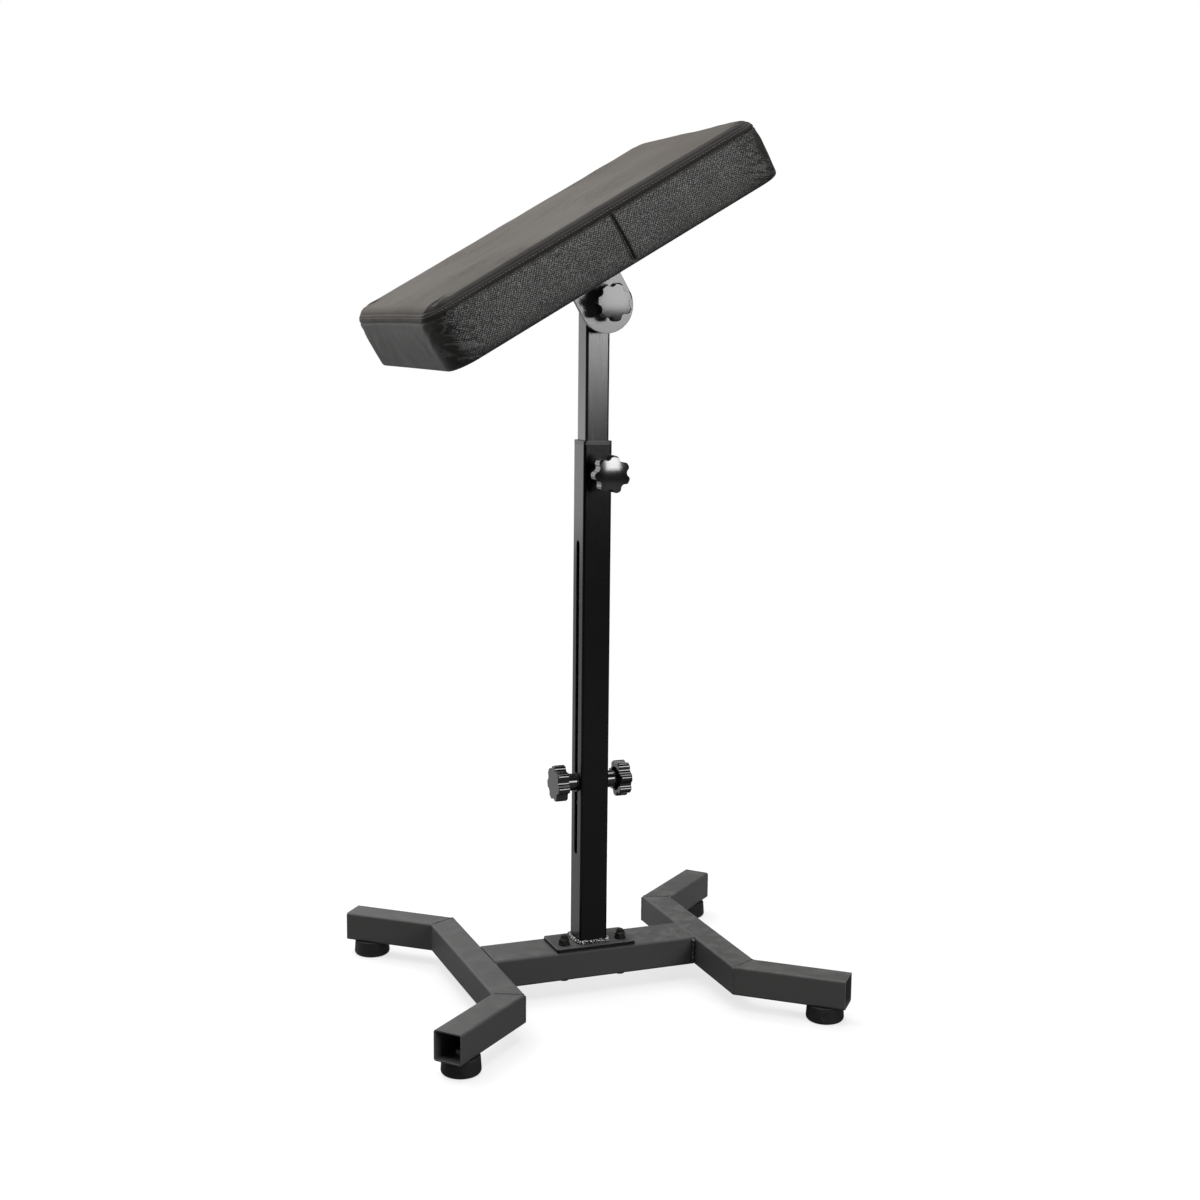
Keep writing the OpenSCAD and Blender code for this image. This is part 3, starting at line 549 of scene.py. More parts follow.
DRESSED = {
    FRAME_COAT: [
        "crossbar", "left_rail", "right_rail", "leg_front_left", "leg_front_right",
        "leg_back_left", "leg_back_right", "tilt_boss", "pad_plate",
    ],
    POST_COAT: ["post"],
    PLATE_COAT: ["mount_plate"],
    MAST_COAT: ["mast"],
    EAR_COAT: ["tilt_ear"],
    RUBBER: ["foot_front_left", "foot_front_right", "foot_back_left", "foot_back_right"],
    KNOB: ["left_knob", "right_knob"],
    CLAMP_KNOB: ["clamp_knob"],
    TILT_KNOB: ["tilt_knob"],
    GUIDE: ["post_collar", "mast_glide", "mast_cap"],
    ZINC: [
        "foot_washers", "foot_screws", "foot_nuts", "cross_bolt", "pivot_bolt",
        "pivot_washer", "pad_screws", "tee_nuts",
    ],
    OXIDE: [
        "plate_bolts", "plate_washers", "plate_nuts", "clamp_nut",
        "left_washer", "right_washer", "tilt_washer",
    ],
    BRASS: ["left_insert", "right_insert", "tilt_insert"],
    FIBRE: ["friction_washer"],
    PLY: ["pad_board"],
}


def dress_nodes():
    """Gives each CAD node that stays its finish."""
    for finish, names in DRESSED.items():
        for name in names:
            for slot in NODES[name].material_slots:
                slot.material = finish


# Pieces from paths


def piece_from(mesh, name, *materials):
    """A named piece of the mesh, with its materials in order."""
    mesh.name = name
    for material in materials:
        mesh.materials.append(material)
    piece = bpy.data.objects.new(name, mesh)
    bpy.context.scene.collection.objects.link(piece)
    return piece


def smooth(mesh):
    for polygon in mesh.polygons:
        polygon.use_smooth = True


def path_mesh(paths):
    """Edges along each (points, closed) path, in one mesh."""
    points, edges = [], []
    for path, closed in paths:
        start = len(points)
        points += [tuple(p) for p in path]
        edges += [(start + k, start + k + 1) for k in range(len(path) - 1)]
        if closed:
            edges.append((start + len(path) - 1, start))
    mesh = bpy.data.meshes.new("path")
    mesh.from_pydata(points, edges, [])
    return mesh


SOCKET_KINDS = {"Seed": "NodeSocketInt", "Material": "NodeSocketMaterial"}


class Tool(Graph):
    """A geometry tree with named inputs, run once on a piece and turned into a plain mesh."""

    def __init__(self, name, *sizes):
        super().__init__(bpy.data.node_groups.new(name, "GeometryNodeTree"))
        face = self.tree.interface
        for way in ("INPUT", "OUTPUT"):
            face.new_socket("Geometry", in_out=way, socket_type="NodeSocketGeometry")
        self.keys = {}
        for label in (*sizes, "Material"):
            kind = SOCKET_KINDS.get(label, "NodeSocketFloat")
            self.keys[label] = face.new_socket(label, in_out="INPUT", socket_type=kind).identifier
        self.geometry = self.add("NodeGroupInput")

    def value(self, label):
        return self.geometry.output(self.keys[label])

    def ring(self, points, radius):
        """A round section for a wire."""
        return self.add("GeometryNodeCurvePrimitiveCircle", {"mode": "RADIUS"}, {
            "Resolution": points, "Radius": radius,
        }, "Curve")

    def along_path(self, shape, scale=(1, 1, 1), **pivot):
        """The shape repeated along the path, one pitch apart, with its X on the path."""
        curve = self.add("GeometryNodeMeshToCurve", None, {"Mesh": self.geometry})
        spots = self.add("GeometryNodeResampleCurve", {"mode": "LENGTH"}, {
            "Curve": curve, "Length": self.value("Pitch"),
        })
        turn = self.add("FunctionNodeAlignRotationToVector", {"axis": "X", **pivot}, {
            "Vector": self.add("GeometryNodeInputTangent"),
        })
        return self.add("GeometryNodeInstanceOnPoints", None, {
            "Points": spots, "Instance": shape, "Rotation": turn, "Scale": scale,
        })

    def close(self, geometry):
        """Ends the tree with the geometry as real, smooth faces of its one material."""
        whole = self.add("GeometryNodeRealizeInstances", None, {"Geometry": geometry})
        shaded = self.add("GeometryNodeSetShadeSmooth", None, {"Geometry": whole})
        painted = self.add("GeometryNodeSetMaterial", None, {
            "Geometry": shaded, "Material": self.value("Material"),
        })
        self.add("NodeGroupOutput", None, {0: painted})
        return self

    def run(self, name, mesh, **values):
        """The named piece that the tree makes from the mesh."""
        carrier = bpy.data.objects.new(name + "_path", mesh)
        bpy.context.scene.collection.objects.link(carrier)
        modifier = carrier.modifiers.new("tool", "NODES")
        modifier.node_group = self.tree
        for label, value in values.items():
            modifier[self.keys[label.replace("_", " ")]] = value
        graph = bpy.context.evaluated_depsgraph_get()
        made = bpy.data.meshes.new_from_object(carrier.evaluated_get(graph))
        bpy.data.objects.remove(carrier)
        return piece_from(made, name)


def stitch_tool():
    """Short lengths of thread along a path, sunk at their ends."""
    tool = Tool("stitch_row", "Pitch", "Stitch Length", "Thread Radius")
    stitch = tool.add("GeometryNodeMeshUVSphere", None, {"Segments": 8, "Rings": 6, "Radius": 1.0})
    thick = tool.value("Thread Radius")
    shape = tool.add("ShaderNodeCombineXYZ", None, {
        "X": tool.value("Stitch Length") * 0.5, "Y": thick, "Z": thick,
    })
    return tool.close(tool.along_path(stitch, shape))


def ripple_tool():
    """A weld bead: overlapping ripples along a path, each a little different."""
    tool = Tool("weld_ripples", "Pitch", "Bead Radius", "Ripple", "Seed")
    ball = tool.add("GeometryNodeMeshIcoSphere", None, {"Radius": 1.0, "Subdivisions": 2})
    size = tool.add("FunctionNodeRandomValue", {"data_type": "FLOAT"}, {
        "Min_001": 0.88, "Max_001": 1.08, "Seed": tool.value("Seed"),
    }, "Value_001") * tool.value("Bead Radius")
    shape = tool.add("ShaderNodeCombineXYZ", None, {
        "X": size * tool.value("Ripple"), "Y": size, "Z": size,
    })
    return tool.close(tool.along_path(ball, shape))


def thread_tool():
    """A screw thread: a ridge that winds round a core along Z."""
    tool = Tool("screw_thread", "Turns", "Root Radius", "Length", "Ridge")
    root = tool.value("Root Radius")
    wire = tool.add("GeometryNodeCurveSpiral", None, {
        "Resolution": 28, "Rotations": tool.value("Turns"),
        "Start Radius": root, "End Radius": root, "Height": tool.value("Length"),
    })
    ridge = tool.add("GeometryNodeCurveToMesh", None, {
        "Curve": wire, "Profile Curve": tool.ring(6, tool.value("Ridge")), "Fill Caps": True,
    })
    return tool.close(tool.add("GeometryNodeJoinGeometry", None, {
        "Geometry": [ridge, tool.geometry],
    }))


def staple_tool():
    """Wire staples along a flat path, their crowns below it and their legs above."""
    tool = Tool("staple_row", "Pitch", "Crown", "Leg", "Wire Radius")
    loop = tool.add("GeometryNodeCurvePrimitiveQuadrilateral", {"mode": "RECTANGLE"}, {
        "Width": tool.value("Crown"), "Height": tool.value("Leg"),
    })
    staple = tool.add("GeometryNodeCurveToMesh", None, {
        "Curve": loop, "Profile Curve": tool.ring(8, tool.value("Wire Radius")),
    })
    standing = tool.add("GeometryNodeTransform", None, {
        "Geometry": staple, "Rotation": (math.radians(90), 0, 0),
        "Translation": tool.add("ShaderNodeCombineXYZ", None, {"Z": tool.value("Leg") * 0.5}),
    })
    return tool.close(tool.along_path(standing, pivot_axis="Z"))


STITCH, RIPPLE, SCREW, STAPLE = stitch_tool(), ripple_tool(), thread_tool(), staple_tool()


def rounded_rectangle(half_x, half_y, radius, z, steps):
    """Points round a rectangle with rounded corners."""
    points = []
    for corner, (sx, sy) in enumerate(((1, 1), (-1, 1), (-1, -1), (1, -1))):
        for k in range(steps + 1):
            a = math.radians(90 * (corner + k / steps))
            points.append((
                sx * (half_x - radius) + radius * math.cos(a),
                sy * (half_y - radius) + radius * math.sin(a),
                z,
            ))
    return points


# Welds

# Length of a ripple, as a share of its bead's radius
RIPPLE_SHARE = 0.62
# The bead round the post's foot, in shares of its weld's reach: how far out, how high and how
# thick, then the radius of its path round the post's corners
FOOT_OUT_SHARE, FOOT_UP_SHARE, FOOT_THICK_SHARE = 0.36, 0.30, 0.62
FOOT_CORNER = 0.0042
# How far the other beads' middles stand off the edge that they fill
BAR_BEAD_OFF, EAR_BEAD_OFF = 0.0012, 0.0010
# Half the length of a bead along the ear, and the thickness of the plate that it is welded to
EAR_BEAD_HALF, PAD_PLATE_THICK = 0.0215, 0.0030
# How far the bead on a mitre stays inside the tubes' outer faces
MITRE_INSET = 0.0022


def weld_post_foot():
    """The bead round the foot of the post, on the mount plate."""
    low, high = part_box("post_weld")
    post_low, post_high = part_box("post")
    half_post = (post_high.x - post_low.x) / 2
    reach = (high.x - low.x) / 2 - half_post
    half = half_post + reach * FOOT_OUT_SHARE
    ring = rounded_rectangle(half, half, FOOT_CORNER, low.z + reach * FOOT_UP_SHARE, steps=5)
    foot = RIPPLE.run("post_foot_weld", path_mesh([(ring, True)]),
                      Pitch=0.0021, Bead_Radius=reach * FOOT_THICK_SHARE, Ripple=RIPPLE_SHARE,
                      Seed=4, Material=FOOT_WELD)
    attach(foot, "base")
    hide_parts("post_weld")


def weld_crossbar():
    """A bead in each upright corner between the crossbar and a rail."""
    low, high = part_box("frame_welds")
    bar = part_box("crossbar")[1]
    x, y = bar.x - BAR_BEAD_OFF, bar.y + BAR_BEAD_OFF
    paths = [([(sx * x, sy * y, low.z), (sx * x, sy * y, high.z)], False)
             for sx in (-1, 1) for sy in (-1, 1)]
    corners = RIPPLE.run("crossbar_welds", path_mesh(paths),
                         Pitch=0.0019, Bead_Radius=0.0027, Ripple=RIPPLE_SHARE,
                         Seed=9, Material=DRESSED_WELD)
    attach(corners, "base")
    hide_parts("frame_welds")


def weld_ear():
    """A bead along each side of the ear, under the pad's plate."""
    front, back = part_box("tilt_ear")
    z = -PAD_PLATE_THICK - EAR_BEAD_OFF
    rows = [([PAD_PLACE @ Vector((s * EAR_BEAD_HALF + PAD_SHIFT, y, z)) for s in (-1, 1)], False)
            for y in (front.y - EAR_BEAD_OFF, back.y + EAR_BEAD_OFF)]
    bead = RIPPLE.run("ear_plate_weld", path_mesh(rows),
                      Pitch=0.0018, Bead_Radius=0.0023, Ripple=RIPPLE_SHARE,
                      Seed=12, Material=DRESSED_WELD)
    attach(bead, "pad")
    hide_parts("ear_weld")


def weld_mitres():
    """A thin dressed bead on each mitre between a rail and a leg."""
    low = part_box("left_rail")[0].z
    lean = LEG_TURN / 2
    # the mitre plane holds the bend's middle and halves its angle
    across = Vector((math.cos(lean), -math.sin(lean), 0)) * (TUBE / 2 / math.cos(lean))
    top, under_top, over_bottom = (
        Vector((0, 0, z)) for z in (low + TUBE, low + TUBE - MITRE_INSET, low + MITRE_INSET)
    )
    paths = []
    for sx in (-1, 1):
        for sy in (-1, 1):
            inner, outer = (
                Vector((sx * end.x, sy * end.y, 0)) for end in (BEND - across, BEND + across)
            )
            inset = (outer - inner).normalized() * MITRE_INSET
            over_tube = [
                inner + inset + top, outer - inset + top, outer + under_top, outer + over_bottom,
            ]
            paths += [(over_tube, False), ([inner + under_top, inner + over_bottom], False)]
    bead = RIPPLE.run("mitre_welds", path_mesh(paths),
                      Pitch=0.0010, Bead_Radius=0.0008, Ripple=0.9, Seed=21, Material=DRESSED_WELD)
    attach(bead, "base")


# The clamp stud's thread

# The thread's pitch, how deep its core lies, its ridge's radius, and the plain end beyond it
THREAD_PITCH, THREAD_DEPTH, THREAD_RIDGE, PLAIN_END = 0.00125, 0.00062, 0.0006, 0.002


def make_clamp_stud():
    """The clamp stud with its thread, in place of the plain one."""
    low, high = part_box("clamp_stud")
    middle, length = (low + high) / 2, high.y - low.y
    root, threaded = (high.x - low.x) / 2 - THREAD_DEPTH, length - PLAIN_END
    core = bmesh.new()
    bmesh.ops.create_cone(
        core, cap_ends=True, segments=32, radius1=root, radius2=root, depth=length,
    )
    bmesh.ops.translate(core, vec=(0, 0, length / 2), verts=core.verts)
    mesh = bpy.data.meshes.new("core")
    core.to_mesh(mesh)
    core.free()
    stud = SCREW.run("clamp_stud_thread", mesh, Turns=threaded / THREAD_PITCH, Root_Radius=root,
                     Length=threaded, Ridge=THREAD_RIDGE, Material=ZINC)
    laid = Matrix.Rotation(math.radians(90), 4, "X")
    stud.data.transform(Matrix.Translation((middle.x, high.y, middle.z)) @ laid)
    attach(stud, "clamp_stud")
    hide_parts("clamp_stud")


# The pad

# Its size, the radius of its corners, and the least that an inset leaves of that
PAD_LENGTH, PAD_WIDTH, CORNER, LEAST_CORNER = 0.375, 0.280, 0.028, 0.009
# Cells of its mesh round a corner and along its straight sides
CORNER_CELLS, LONG_CELLS, SHORT_CELLS = 6, 70, 48
# A straight line this near to an extra one, in shares of half a cell, is left out
CLEAR_SHARE = 0.9
# The upright seam of the near side: its place along the pad, the spacing of the lines beside
# it, its two ends, and how far in from the side it reaches
SIDE_SEAM_X, SIDE_SEAM_STEP = 0.0125, 0.0011
SIDE_SEAM_FOOT, SIDE_SEAM_HEAD, SIDE_SEAM_DEEP = 0.003, 0.0490, 0.020
# The turned hem under the pad, how far the hollow for the cloth runs under it, and its depth
HEM, HEM_LAP, HOLLOW = 0.026, 3 * MM, 0.98 * MM


def grid_lines(cells, extra=()):
    """Places across a side: 1 to 2 either way is a corner, -1 to 1 the straight run."""
    straight = [2 * k / cells - 1 for k in range(cells + 1)]
    straight = [s for s in straight if all(abs(s - e) > CLEAR_SHARE / cells for e in extra)]
    corner = [1 + (k + 1) / CORNER_CELLS for k in range(CORNER_CELLS)]
    return sorted([-c for c in corner] + straight + list(extra) + corner)


def rim_of(columns, rows):
    """The places round the edge of a grid, once round from its first corner."""
    return ([(i, 0) for i in range(columns - 1)] + [(columns - 1, j) for j in range(rows - 1)]
            + [(i, rows - 1) for i in range(columns - 1, 0, -1)]
            + [(0, j) for j in range(rows - 1, 0, -1)])


def placed(s, half, radius):
    """Where a grid line lies on a side of a given half length and corner radius."""
    run = half - radius
    return s * run if abs(s) <= 1 else math.copysign(run + (abs(s) - 1) * radius, s)


def rounded(s, t, inset, draw, z):
    """A point of the pad's outline or face, at an inset from its widest line."""
    radius = max(CORNER - inset, LEAST_CORNER)
    half_x, half_y = PAD_LENGTH / 2 - inset, PAD_WIDTH / 2 - inset
    x, y = placed(s, half_x, radius), placed(t, half_y, radius)
    if abs(s) > 1 and abs(t) > 1:
        u, v = abs(s) - 1, abs(t) - 1
        x = math.copysign(half_x - radius + radius * u * math.sqrt(1 - v * v / 2), s)
        y = math.copysign(half_y - radius + radius * v * math.sqrt(1 - u * u / 2), t)
    if abs(t) == 2 and abs(s) < 1:
        y -= math.copysign(draw * (1 - s * s), t)
    if abs(s) == 2 and abs(t) < 1:
        x -= math.copysign(draw * (1 - t * t), s)
    return (x, y, z)


# The lines round the pad from its top edge down, in mm: inset, draw-in of the middle of each
# side and height, then what the line is, and how freely it swells
SIDE_LINES = [
    (12.8, 0.9, 59.4, "", 0.35), (10.5, 0.9, 59.0, "", 0.2), (8.5, 1.0, 58.3, "", 0.1),
    (7.1, 1.0, 57.5, "edge_lip", 0.0), (6.3, 1.0, 56.9, "edge_seam", 0.0),
    (5.6, 1.0, 56.3, "edge_lip", 0.0), (4.5, 1.1, 55.2, "", 0.05), (3.5, 1.2, 53.9, "band", 0.05),
    (2.7, 1.3, 52.3, "", 0.05), (2.0, 1.5, 50.5, "side_lip", 0.0), (1.8, 1.6, 49.6, "side_seam", 0.0),
    (1.8, 1.6, 48.7, "side_lip", 0.0), (2.0, 1.7, 46.5, "", 0.25), (2.4, 1.8, 42.5, "", 0.6),
    (2.8, 2.0, 37.5, "", 0.85), (3.0, 2.0, 32.5, "", 1.0), (3.0, 2.0, 27.0, "", 1.0),
    (3.0, 2.0, 22.0, "", 1.0), (2.8, 1.9, 17.0, "", 0.9), (2.5, 1.6, 12.5, "", 0.7),
    (2.0, 1.2, 8.5, "", 0.45), (1.5, 0.8, 5.3, "", 0.25), (1.3, 0.5, 2.8, "", 0.1),
    (2.0, 0.2, 1.0, "", 0.0), (3.4, 0.1, 0.2, "", 0.0), (5.4, 0.0, 0.0, "hem", 0.0),
]
# The top's own edge, as inset, draw-in and height in mm, and how freely the top swells
TOP_EDGE, TOP_SWELL = (16.5, 0.9, 59.7), 0.25
# How far the top rises from that edge, in mm, and how far in from the outline it starts to
CROWN, CROWN_EDGE = 2.4, 0.012
# Depths of the seams, and heights of the folded edges beside them, in mm
SEAM_DEPTH = {"edge_seam": 0.6, "band": 0.22, "side_seam": 1.5}
LIP_RISE = {"edge_lip": 0.08, "side_lip": 0.22}
# The upright seam, in mm: its depth, how far the lines beside it sink at its head and how much
# more at its foot, and how far the lines beyond those rise
SIDE_SEAM_DEPTH, BESIDE_SINK, BESIDE_SINK_MORE, BEYOND_RISE = 3.2, 0.4, 2.4, 0.35
# Down to the seam under the band, the cover is of the top's leather
TOP_SLOT, SIDE_SLOT = 0, 1
SEAM_ROW = [kind for _, _, _, kind, _ in SIDE_LINES].index("side_seam")


def crown_height(x, y):
    """Height of the pad's top, before it is filled."""
    along = min(1.0, abs(x) / (PAD_LENGTH / 2 - CROWN_EDGE))
    across = min(1.0, abs(y) / (PAD_WIDTH / 2 - CROWN_EDGE))
    return (TOP_EDGE[2] + CROWN * ((1 - along ** 4) * (1 - across ** 3))) * MM


def underside_height(x, y):
    """Flat along the turned hem, then hollow, where the cloth under the board lies."""
    edge = min(PAD_LENGTH / 2 - abs(x), PAD_WIDTH / 2 - abs(y))
    return 0.0 if edge < HEM - HEM_LAP else HOLLOW


def pad_mesh():
    """The cover as one closed mesh of quads, with a line of points along each seam.

    Gives the mesh, the kind of line that each point of the sides is on, and how freely each
    point swells."""
    run_x = PAD_LENGTH / 2 - CORNER
    seam = [(SIDE_SEAM_X + k * SIDE_SEAM_STEP) / run_x for k in (-2, -1, 0, 1, 2)]
    across, up = grid_lines(LONG_CELLS, seam), grid_lines(SHORT_CELLS)
    nx, ny = len(across), len(up)
    points, faces, slots, line_of, give = [], [], [], {}, {}

    def face_grid(inset, draw, height):
        index = {}
        for j, t in enumerate(up):
            for i, s in enumerate(across):
                index[i, j] = len(points)
                x, y, _ = rounded(s, t, inset * MM, draw * MM, 0.0)
                points.append((x, y, height(x, y)))
        return index

    top = face_grid(TOP_EDGE[0], TOP_EDGE[1], crown_height)
    give.update(dict.fromkeys(top.values(), TOP_SWELL))
    rim = rim_of(nx, ny)
    above = [top[k] for k in rim]
    bands = []
    for inset, draw, z, kind, free in SIDE_LINES[:-1]:
        ring = []
        for i, j in rim:
            ring.append(len(points))
            points.append(rounded(across[i], up[j], inset * MM, draw * MM, z * MM))
        line_of.update(dict.fromkeys(ring, kind))
        give.update(dict.fromkeys(ring, free))
        bands.append((above, ring))
        above = ring
    bottom = face_grid(SIDE_LINES[-1][0], SIDE_LINES[-1][1], underside_height)
    bands.append((above, [bottom[k] for k in rim]))

    for j in range(ny - 1):
        for i in range(nx - 1):
            faces.append((top[i, j], top[i + 1, j], top[i + 1, j + 1], top[i, j + 1]))
            faces.append((bottom[i, j], bottom[i, j + 1], bottom[i + 1, j + 1], bottom[i + 1, j]))
            slots += [TOP_SLOT, SIDE_SLOT]
    for row, (upper, lower) in enumerate(bands):
        for k in range(len(rim)):
            m = (k + 1) % len(rim)
            faces.append((upper[k], lower[k], lower[m], upper[m]))
            slots.append(TOP_SLOT if row < SEAM_ROW else SIDE_SLOT)
    mesh = bpy.data.meshes.new("pad_cover_skin")
    mesh.from_pydata(points, [], faces)
    mesh.materials.append(LEATHER_TOP)
    mesh.materials.append(LEATHER_SIDE)
    for polygon, slot in zip(mesh.polygons, slots):
        polygon.material_index = slot
    smooth(mesh)
    return mesh, line_of, give


# The filling: its pressure, steps and quality, and the least and most that it moves a point out
PRESSURE, SIM_FRAMES, SIM_QUALITY = 4.0, 20, 5
FOAM_PUSH, SWELL_CAP = 2.6 * MM, 3.4 * MM


def fill_cover(cover, give):
    """Blows the cover up like a stuffed skin; the foam keeps its corners from falling in."""
    mesh = cover.data
    before = [(v.co.copy(), v.normal.copy()) for v in mesh.vertices]
    held = [v.index for v in mesh.vertices if give.get(v.index, 0.0) == 0.0]
    pins = cover.vertex_groups.new(name="held")
    pins.add(held, 1.0, "REPLACE")
    cloth = cover.modifiers.new("fill", "CLOTH")
    cloth.settings.vertex_group_mass = "held"
    cloth.settings.use_pressure = True
    cloth.settings.uniform_pressure_force = PRESSURE
    cloth.settings.effector_weights.gravity = 0.0
    cloth.settings.quality = SIM_QUALITY
    cloth.collision_settings.use_collision = False
    cloth.collision_settings.use_self_collision = False
    for step in range(1, SIM_FRAMES + 1):
        bpy.context.scene.frame_set(step)
    graph = bpy.context.evaluated_depsgraph_get()
    filled = bpy.data.meshes.new_from_object(cover.evaluated_get(graph))
    rises = [(v.co - old).dot(normal) for v, (old, normal) in zip(filled.vertices, before)]
    bpy.data.meshes.remove(filled)
    cover.modifiers.clear()
    cover.vertex_groups.clear()
    bpy.context.scene.frame_set(1)
    for v, (old, normal), rise in zip(mesh.vertices, before, rises):
        v.co = old + normal * give.get(v.index, 0.0) * max(FOAM_PUSH, min(rise, SWELL_CAP))


# Creases by the pad's corners, in mm: start, end, width and depth
CREASES = [
    ((-178.5, -131, 57.5), (-157.5, -113, 59.5), 5.0, 0.9),
    ((-175.5, -122, 57.5), (-146.5, -110, 59.5), 4.5, 0.8),
    ((-171.5, -132, 56.5), (-153.5, -106, 59.5), 4.0, 0.7),
    ((-165.5, -134, 56.5), (-147.5, -122, 59.5), 3.5, 0.6),
    ((-175.5, -137, 47.5), (-145.5, -139, 36), 5.0, 1.1),
    ((-167.5, -139, 46.5), (-135.5, -140, 43.5), 4.0, 0.9),
    ((-179.5, -134, 45.5), (-159.5, -139, 25), 4.5, 0.9),
    ((-157.5, -140, 46.5), (-127.5, -140, 45.5), 3.5, 0.7),
    ((-183.5, -126, 46.5), (-185.5, -106, 33), 4.5, 0.7),
    ((-181.5, -130, 40), (-184.5, -114, 22), 4.5, 0.6),
    ((178.5, -131, 57.5), (159.5, -115, 59.5), 5.0, 0.7),
    ((175.5, -137, 47.5), (153.5, -139, 36), 4.5, 0.8),
    ((183.5, -126, 46.5), (185.5, -108, 34), 4.5, 0.7),
    ((178.5, 131, 57.5), (157.5, 113, 59.5), 4.0, 0.25),
    ((171.5, 132, 56.5), (153.5, 108, 59.5), 3.0, 0.2),
    ((175.5, 137, 47.5), (147.5, 139, 37), 4.5, 0.9),
    ((183.5, 126, 46.5), (185.5, 106, 34), 4.5, 0.7),
    ((-178.5, 131, 57.5), (-159.5, 114, 59.5), 5.0, 0.8),
    ((-173.5, 122, 57.5), (-148.5, 111, 59.5), 4.0, 0.6),
    ((-175.5, 137, 47.5), (-148.5, 139, 37), 4.5, 0.9),
    ((-183.5, 126, 46.5), (-185.5, 106, 34), 4.5, 0.7),
]
# How far a crease reaches, in its widths, and what its depth is raised by
CREASE_REACH, CREASE_GAIN = 2.0, 1.5
# Its section: how sharp the valley is, then the ridges beside it, their height, place and how
# sharp they are
VALLEY_SHARP, RIDGE_SHARE, RIDGE_AT, RIDGE_SHARP = 2.5, 0.45, 1.15, 6
# Its depth follows this stretch of half a sine wave, so that it fades towards both ends
FADE_START_SHARE, FADE_RUN_SHARE = 0.15, 0.7
# The panels' waves: how many to a metre, slow and fast, what the fast ones count for, their
# height in mm, and the height on the pad that they start at
SLOW_WAVES, FAST_WAVES, FAST_SHARE, WAVE_HEIGHT, WAVES_FROM = 22.0, 55.0, 0.45, 0.55, 0.004
# Moves the fast waves away from the slow ones
FAST_SHIFT = Vector((7, 3, 1))


def press_creases(mesh):
    """Folds that run out of the sewn corners."""
    lines = [(Vector(a) * MM, Vector(b) * MM, w * MM, d * MM) for a, b, w, d in CREASES]
    for v in mesh.vertices:
        for start, end, width, depth in lines:
            run = end - start
            share = max(0.0, min(1.0, (v.co - start).dot(run) / run.length_squared))
            gap = (v.co - start - run * share).length / width
            if gap < CREASE_REACH:
                valley = math.exp(-gap * gap * VALLEY_SHARP)
                ridge = RIDGE_SHARE * math.exp(-(gap - RIDGE_AT) ** 2 * RIDGE_SHARP)
                fade = math.sin(math.pi * (FADE_START_SHARE + FADE_RUN_SHARE * share))
                v.co -= v.normal * CREASE_GAIN * depth * (valley - ridge) * fade


def ripple_panels(mesh):
    """Slow unevenness of hand-stretched leatherette over foam."""
    for v in mesh.vertices:
        if v.co.z > WAVES_FROM:
            fast = noise.noise(v.co * FAST_WAVES + FAST_SHIFT)
            wave = noise.noise(v.co * SLOW_WAVES) + FAST_SHARE * fast
            v.co += v.normal * wave * WAVE_HEIGHT * MM


def sew_down(mesh, line_of):
    """Seams pulled into the cover, with the folded edges beside them lifted."""
    normals = [v.normal.copy() for v in mesh.vertices]
    for v, n in zip(mesh.vertices, normals):
        kind = line_of.get(v.index, "")
        v.co -= n * SEAM_DEPTH.get(kind, 0.0) * MM
        v.co += n * LIP_RISE.get(kind, 0.0) * MM
        off = round(abs(v.co.x - SIDE_SEAM_X) / SIDE_SEAM_STEP)
        near_side = v.co.y < SIDE_SEAM_DEEP - PAD_WIDTH / 2
        if near_side and SIDE_SEAM_FOOT < v.co.z < SIDE_SEAM_HEAD and off < 3:
            low = 1 - v.co.z / SIDE_SEAM_HEAD
            beside = BESIDE_SINK + BESIDE_SINK_MORE * low
            v.co -= n * MM * (SIDE_SEAM_DEPTH, beside, -BEYOND_RISE)[off]


def make_pad():
    """The stuffed cover with its creases and seams, and the stitching along its band."""
    mesh, line_of, give = pad_mesh()
    cover = piece_from(mesh, "pad_cover_filled")
    fill_cover(cover, give)
    mesh.update()
    ripple_panels(mesh)
    mesh.update()
    press_creases(mesh)
    mesh.update()
    sew_down(mesh, line_of)
    subdivide = cover.modifiers.new("smooth", "SUBSURF")
    subdivide.levels = subdivide.render_levels = 1
    graph = bpy.context.evaluated_depsgraph_get()
    fine = bpy.data.meshes.new_from_object(cover.evaluated_get(graph))
    cover.modifiers.clear()
    cover.data = fine
    bpy.data.meshes.remove(mesh)
    smooth(fine)

    stitches = sew_rows(cover)
    for piece in (cover, stitches):
        piece.data.transform(PAD_PLACE)
        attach(piece, "pad")
    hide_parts("pad_cover")


# The line that the stitching follows, as in SIDE_LINES, and how far its middle stands proud
STITCH_LINE, STITCH_PROUD = (3.3, 1.2, 53.9), 0.05 * MM


def outline(inset, draw, z):
    """Points round the pad at one height, before it was filled."""
    across, up = grid_lines(LONG_CELLS), grid_lines(SHORT_CELLS)
    return [Vector(rounded(across[i], up[j], inset * MM, draw * MM, z * MM))
            for i, j in rim_of(len(across), len(up))]


def laid_on(points, surface, proud):
    """The points moved on to the surface, a little proud of it."""
    found = []
    for p in points:
        spot, normal, _, _ = surface.find_nearest(p)
        found.append(spot + normal * proud)
    return found


def sew_rows(cover):
    """Stitching along the narrow band between the two seams round the pad."""
    surface = BVHTree.FromPolygons([v.co.copy() for v in cover.data.vertices],
                                   [tuple(p.vertices) for p in cover.data.polygons])
    row = laid_on(outline(*STITCH_LINE), surface, STITCH_PROUD)
    return STITCH.run("pad_stitching", path_mesh([(row, True)]),
                      Pitch=3.6 * MM, Stitch_Length=3.0 * MM, Thread_Radius=0.38 * MM,
                      Material=THREAD)


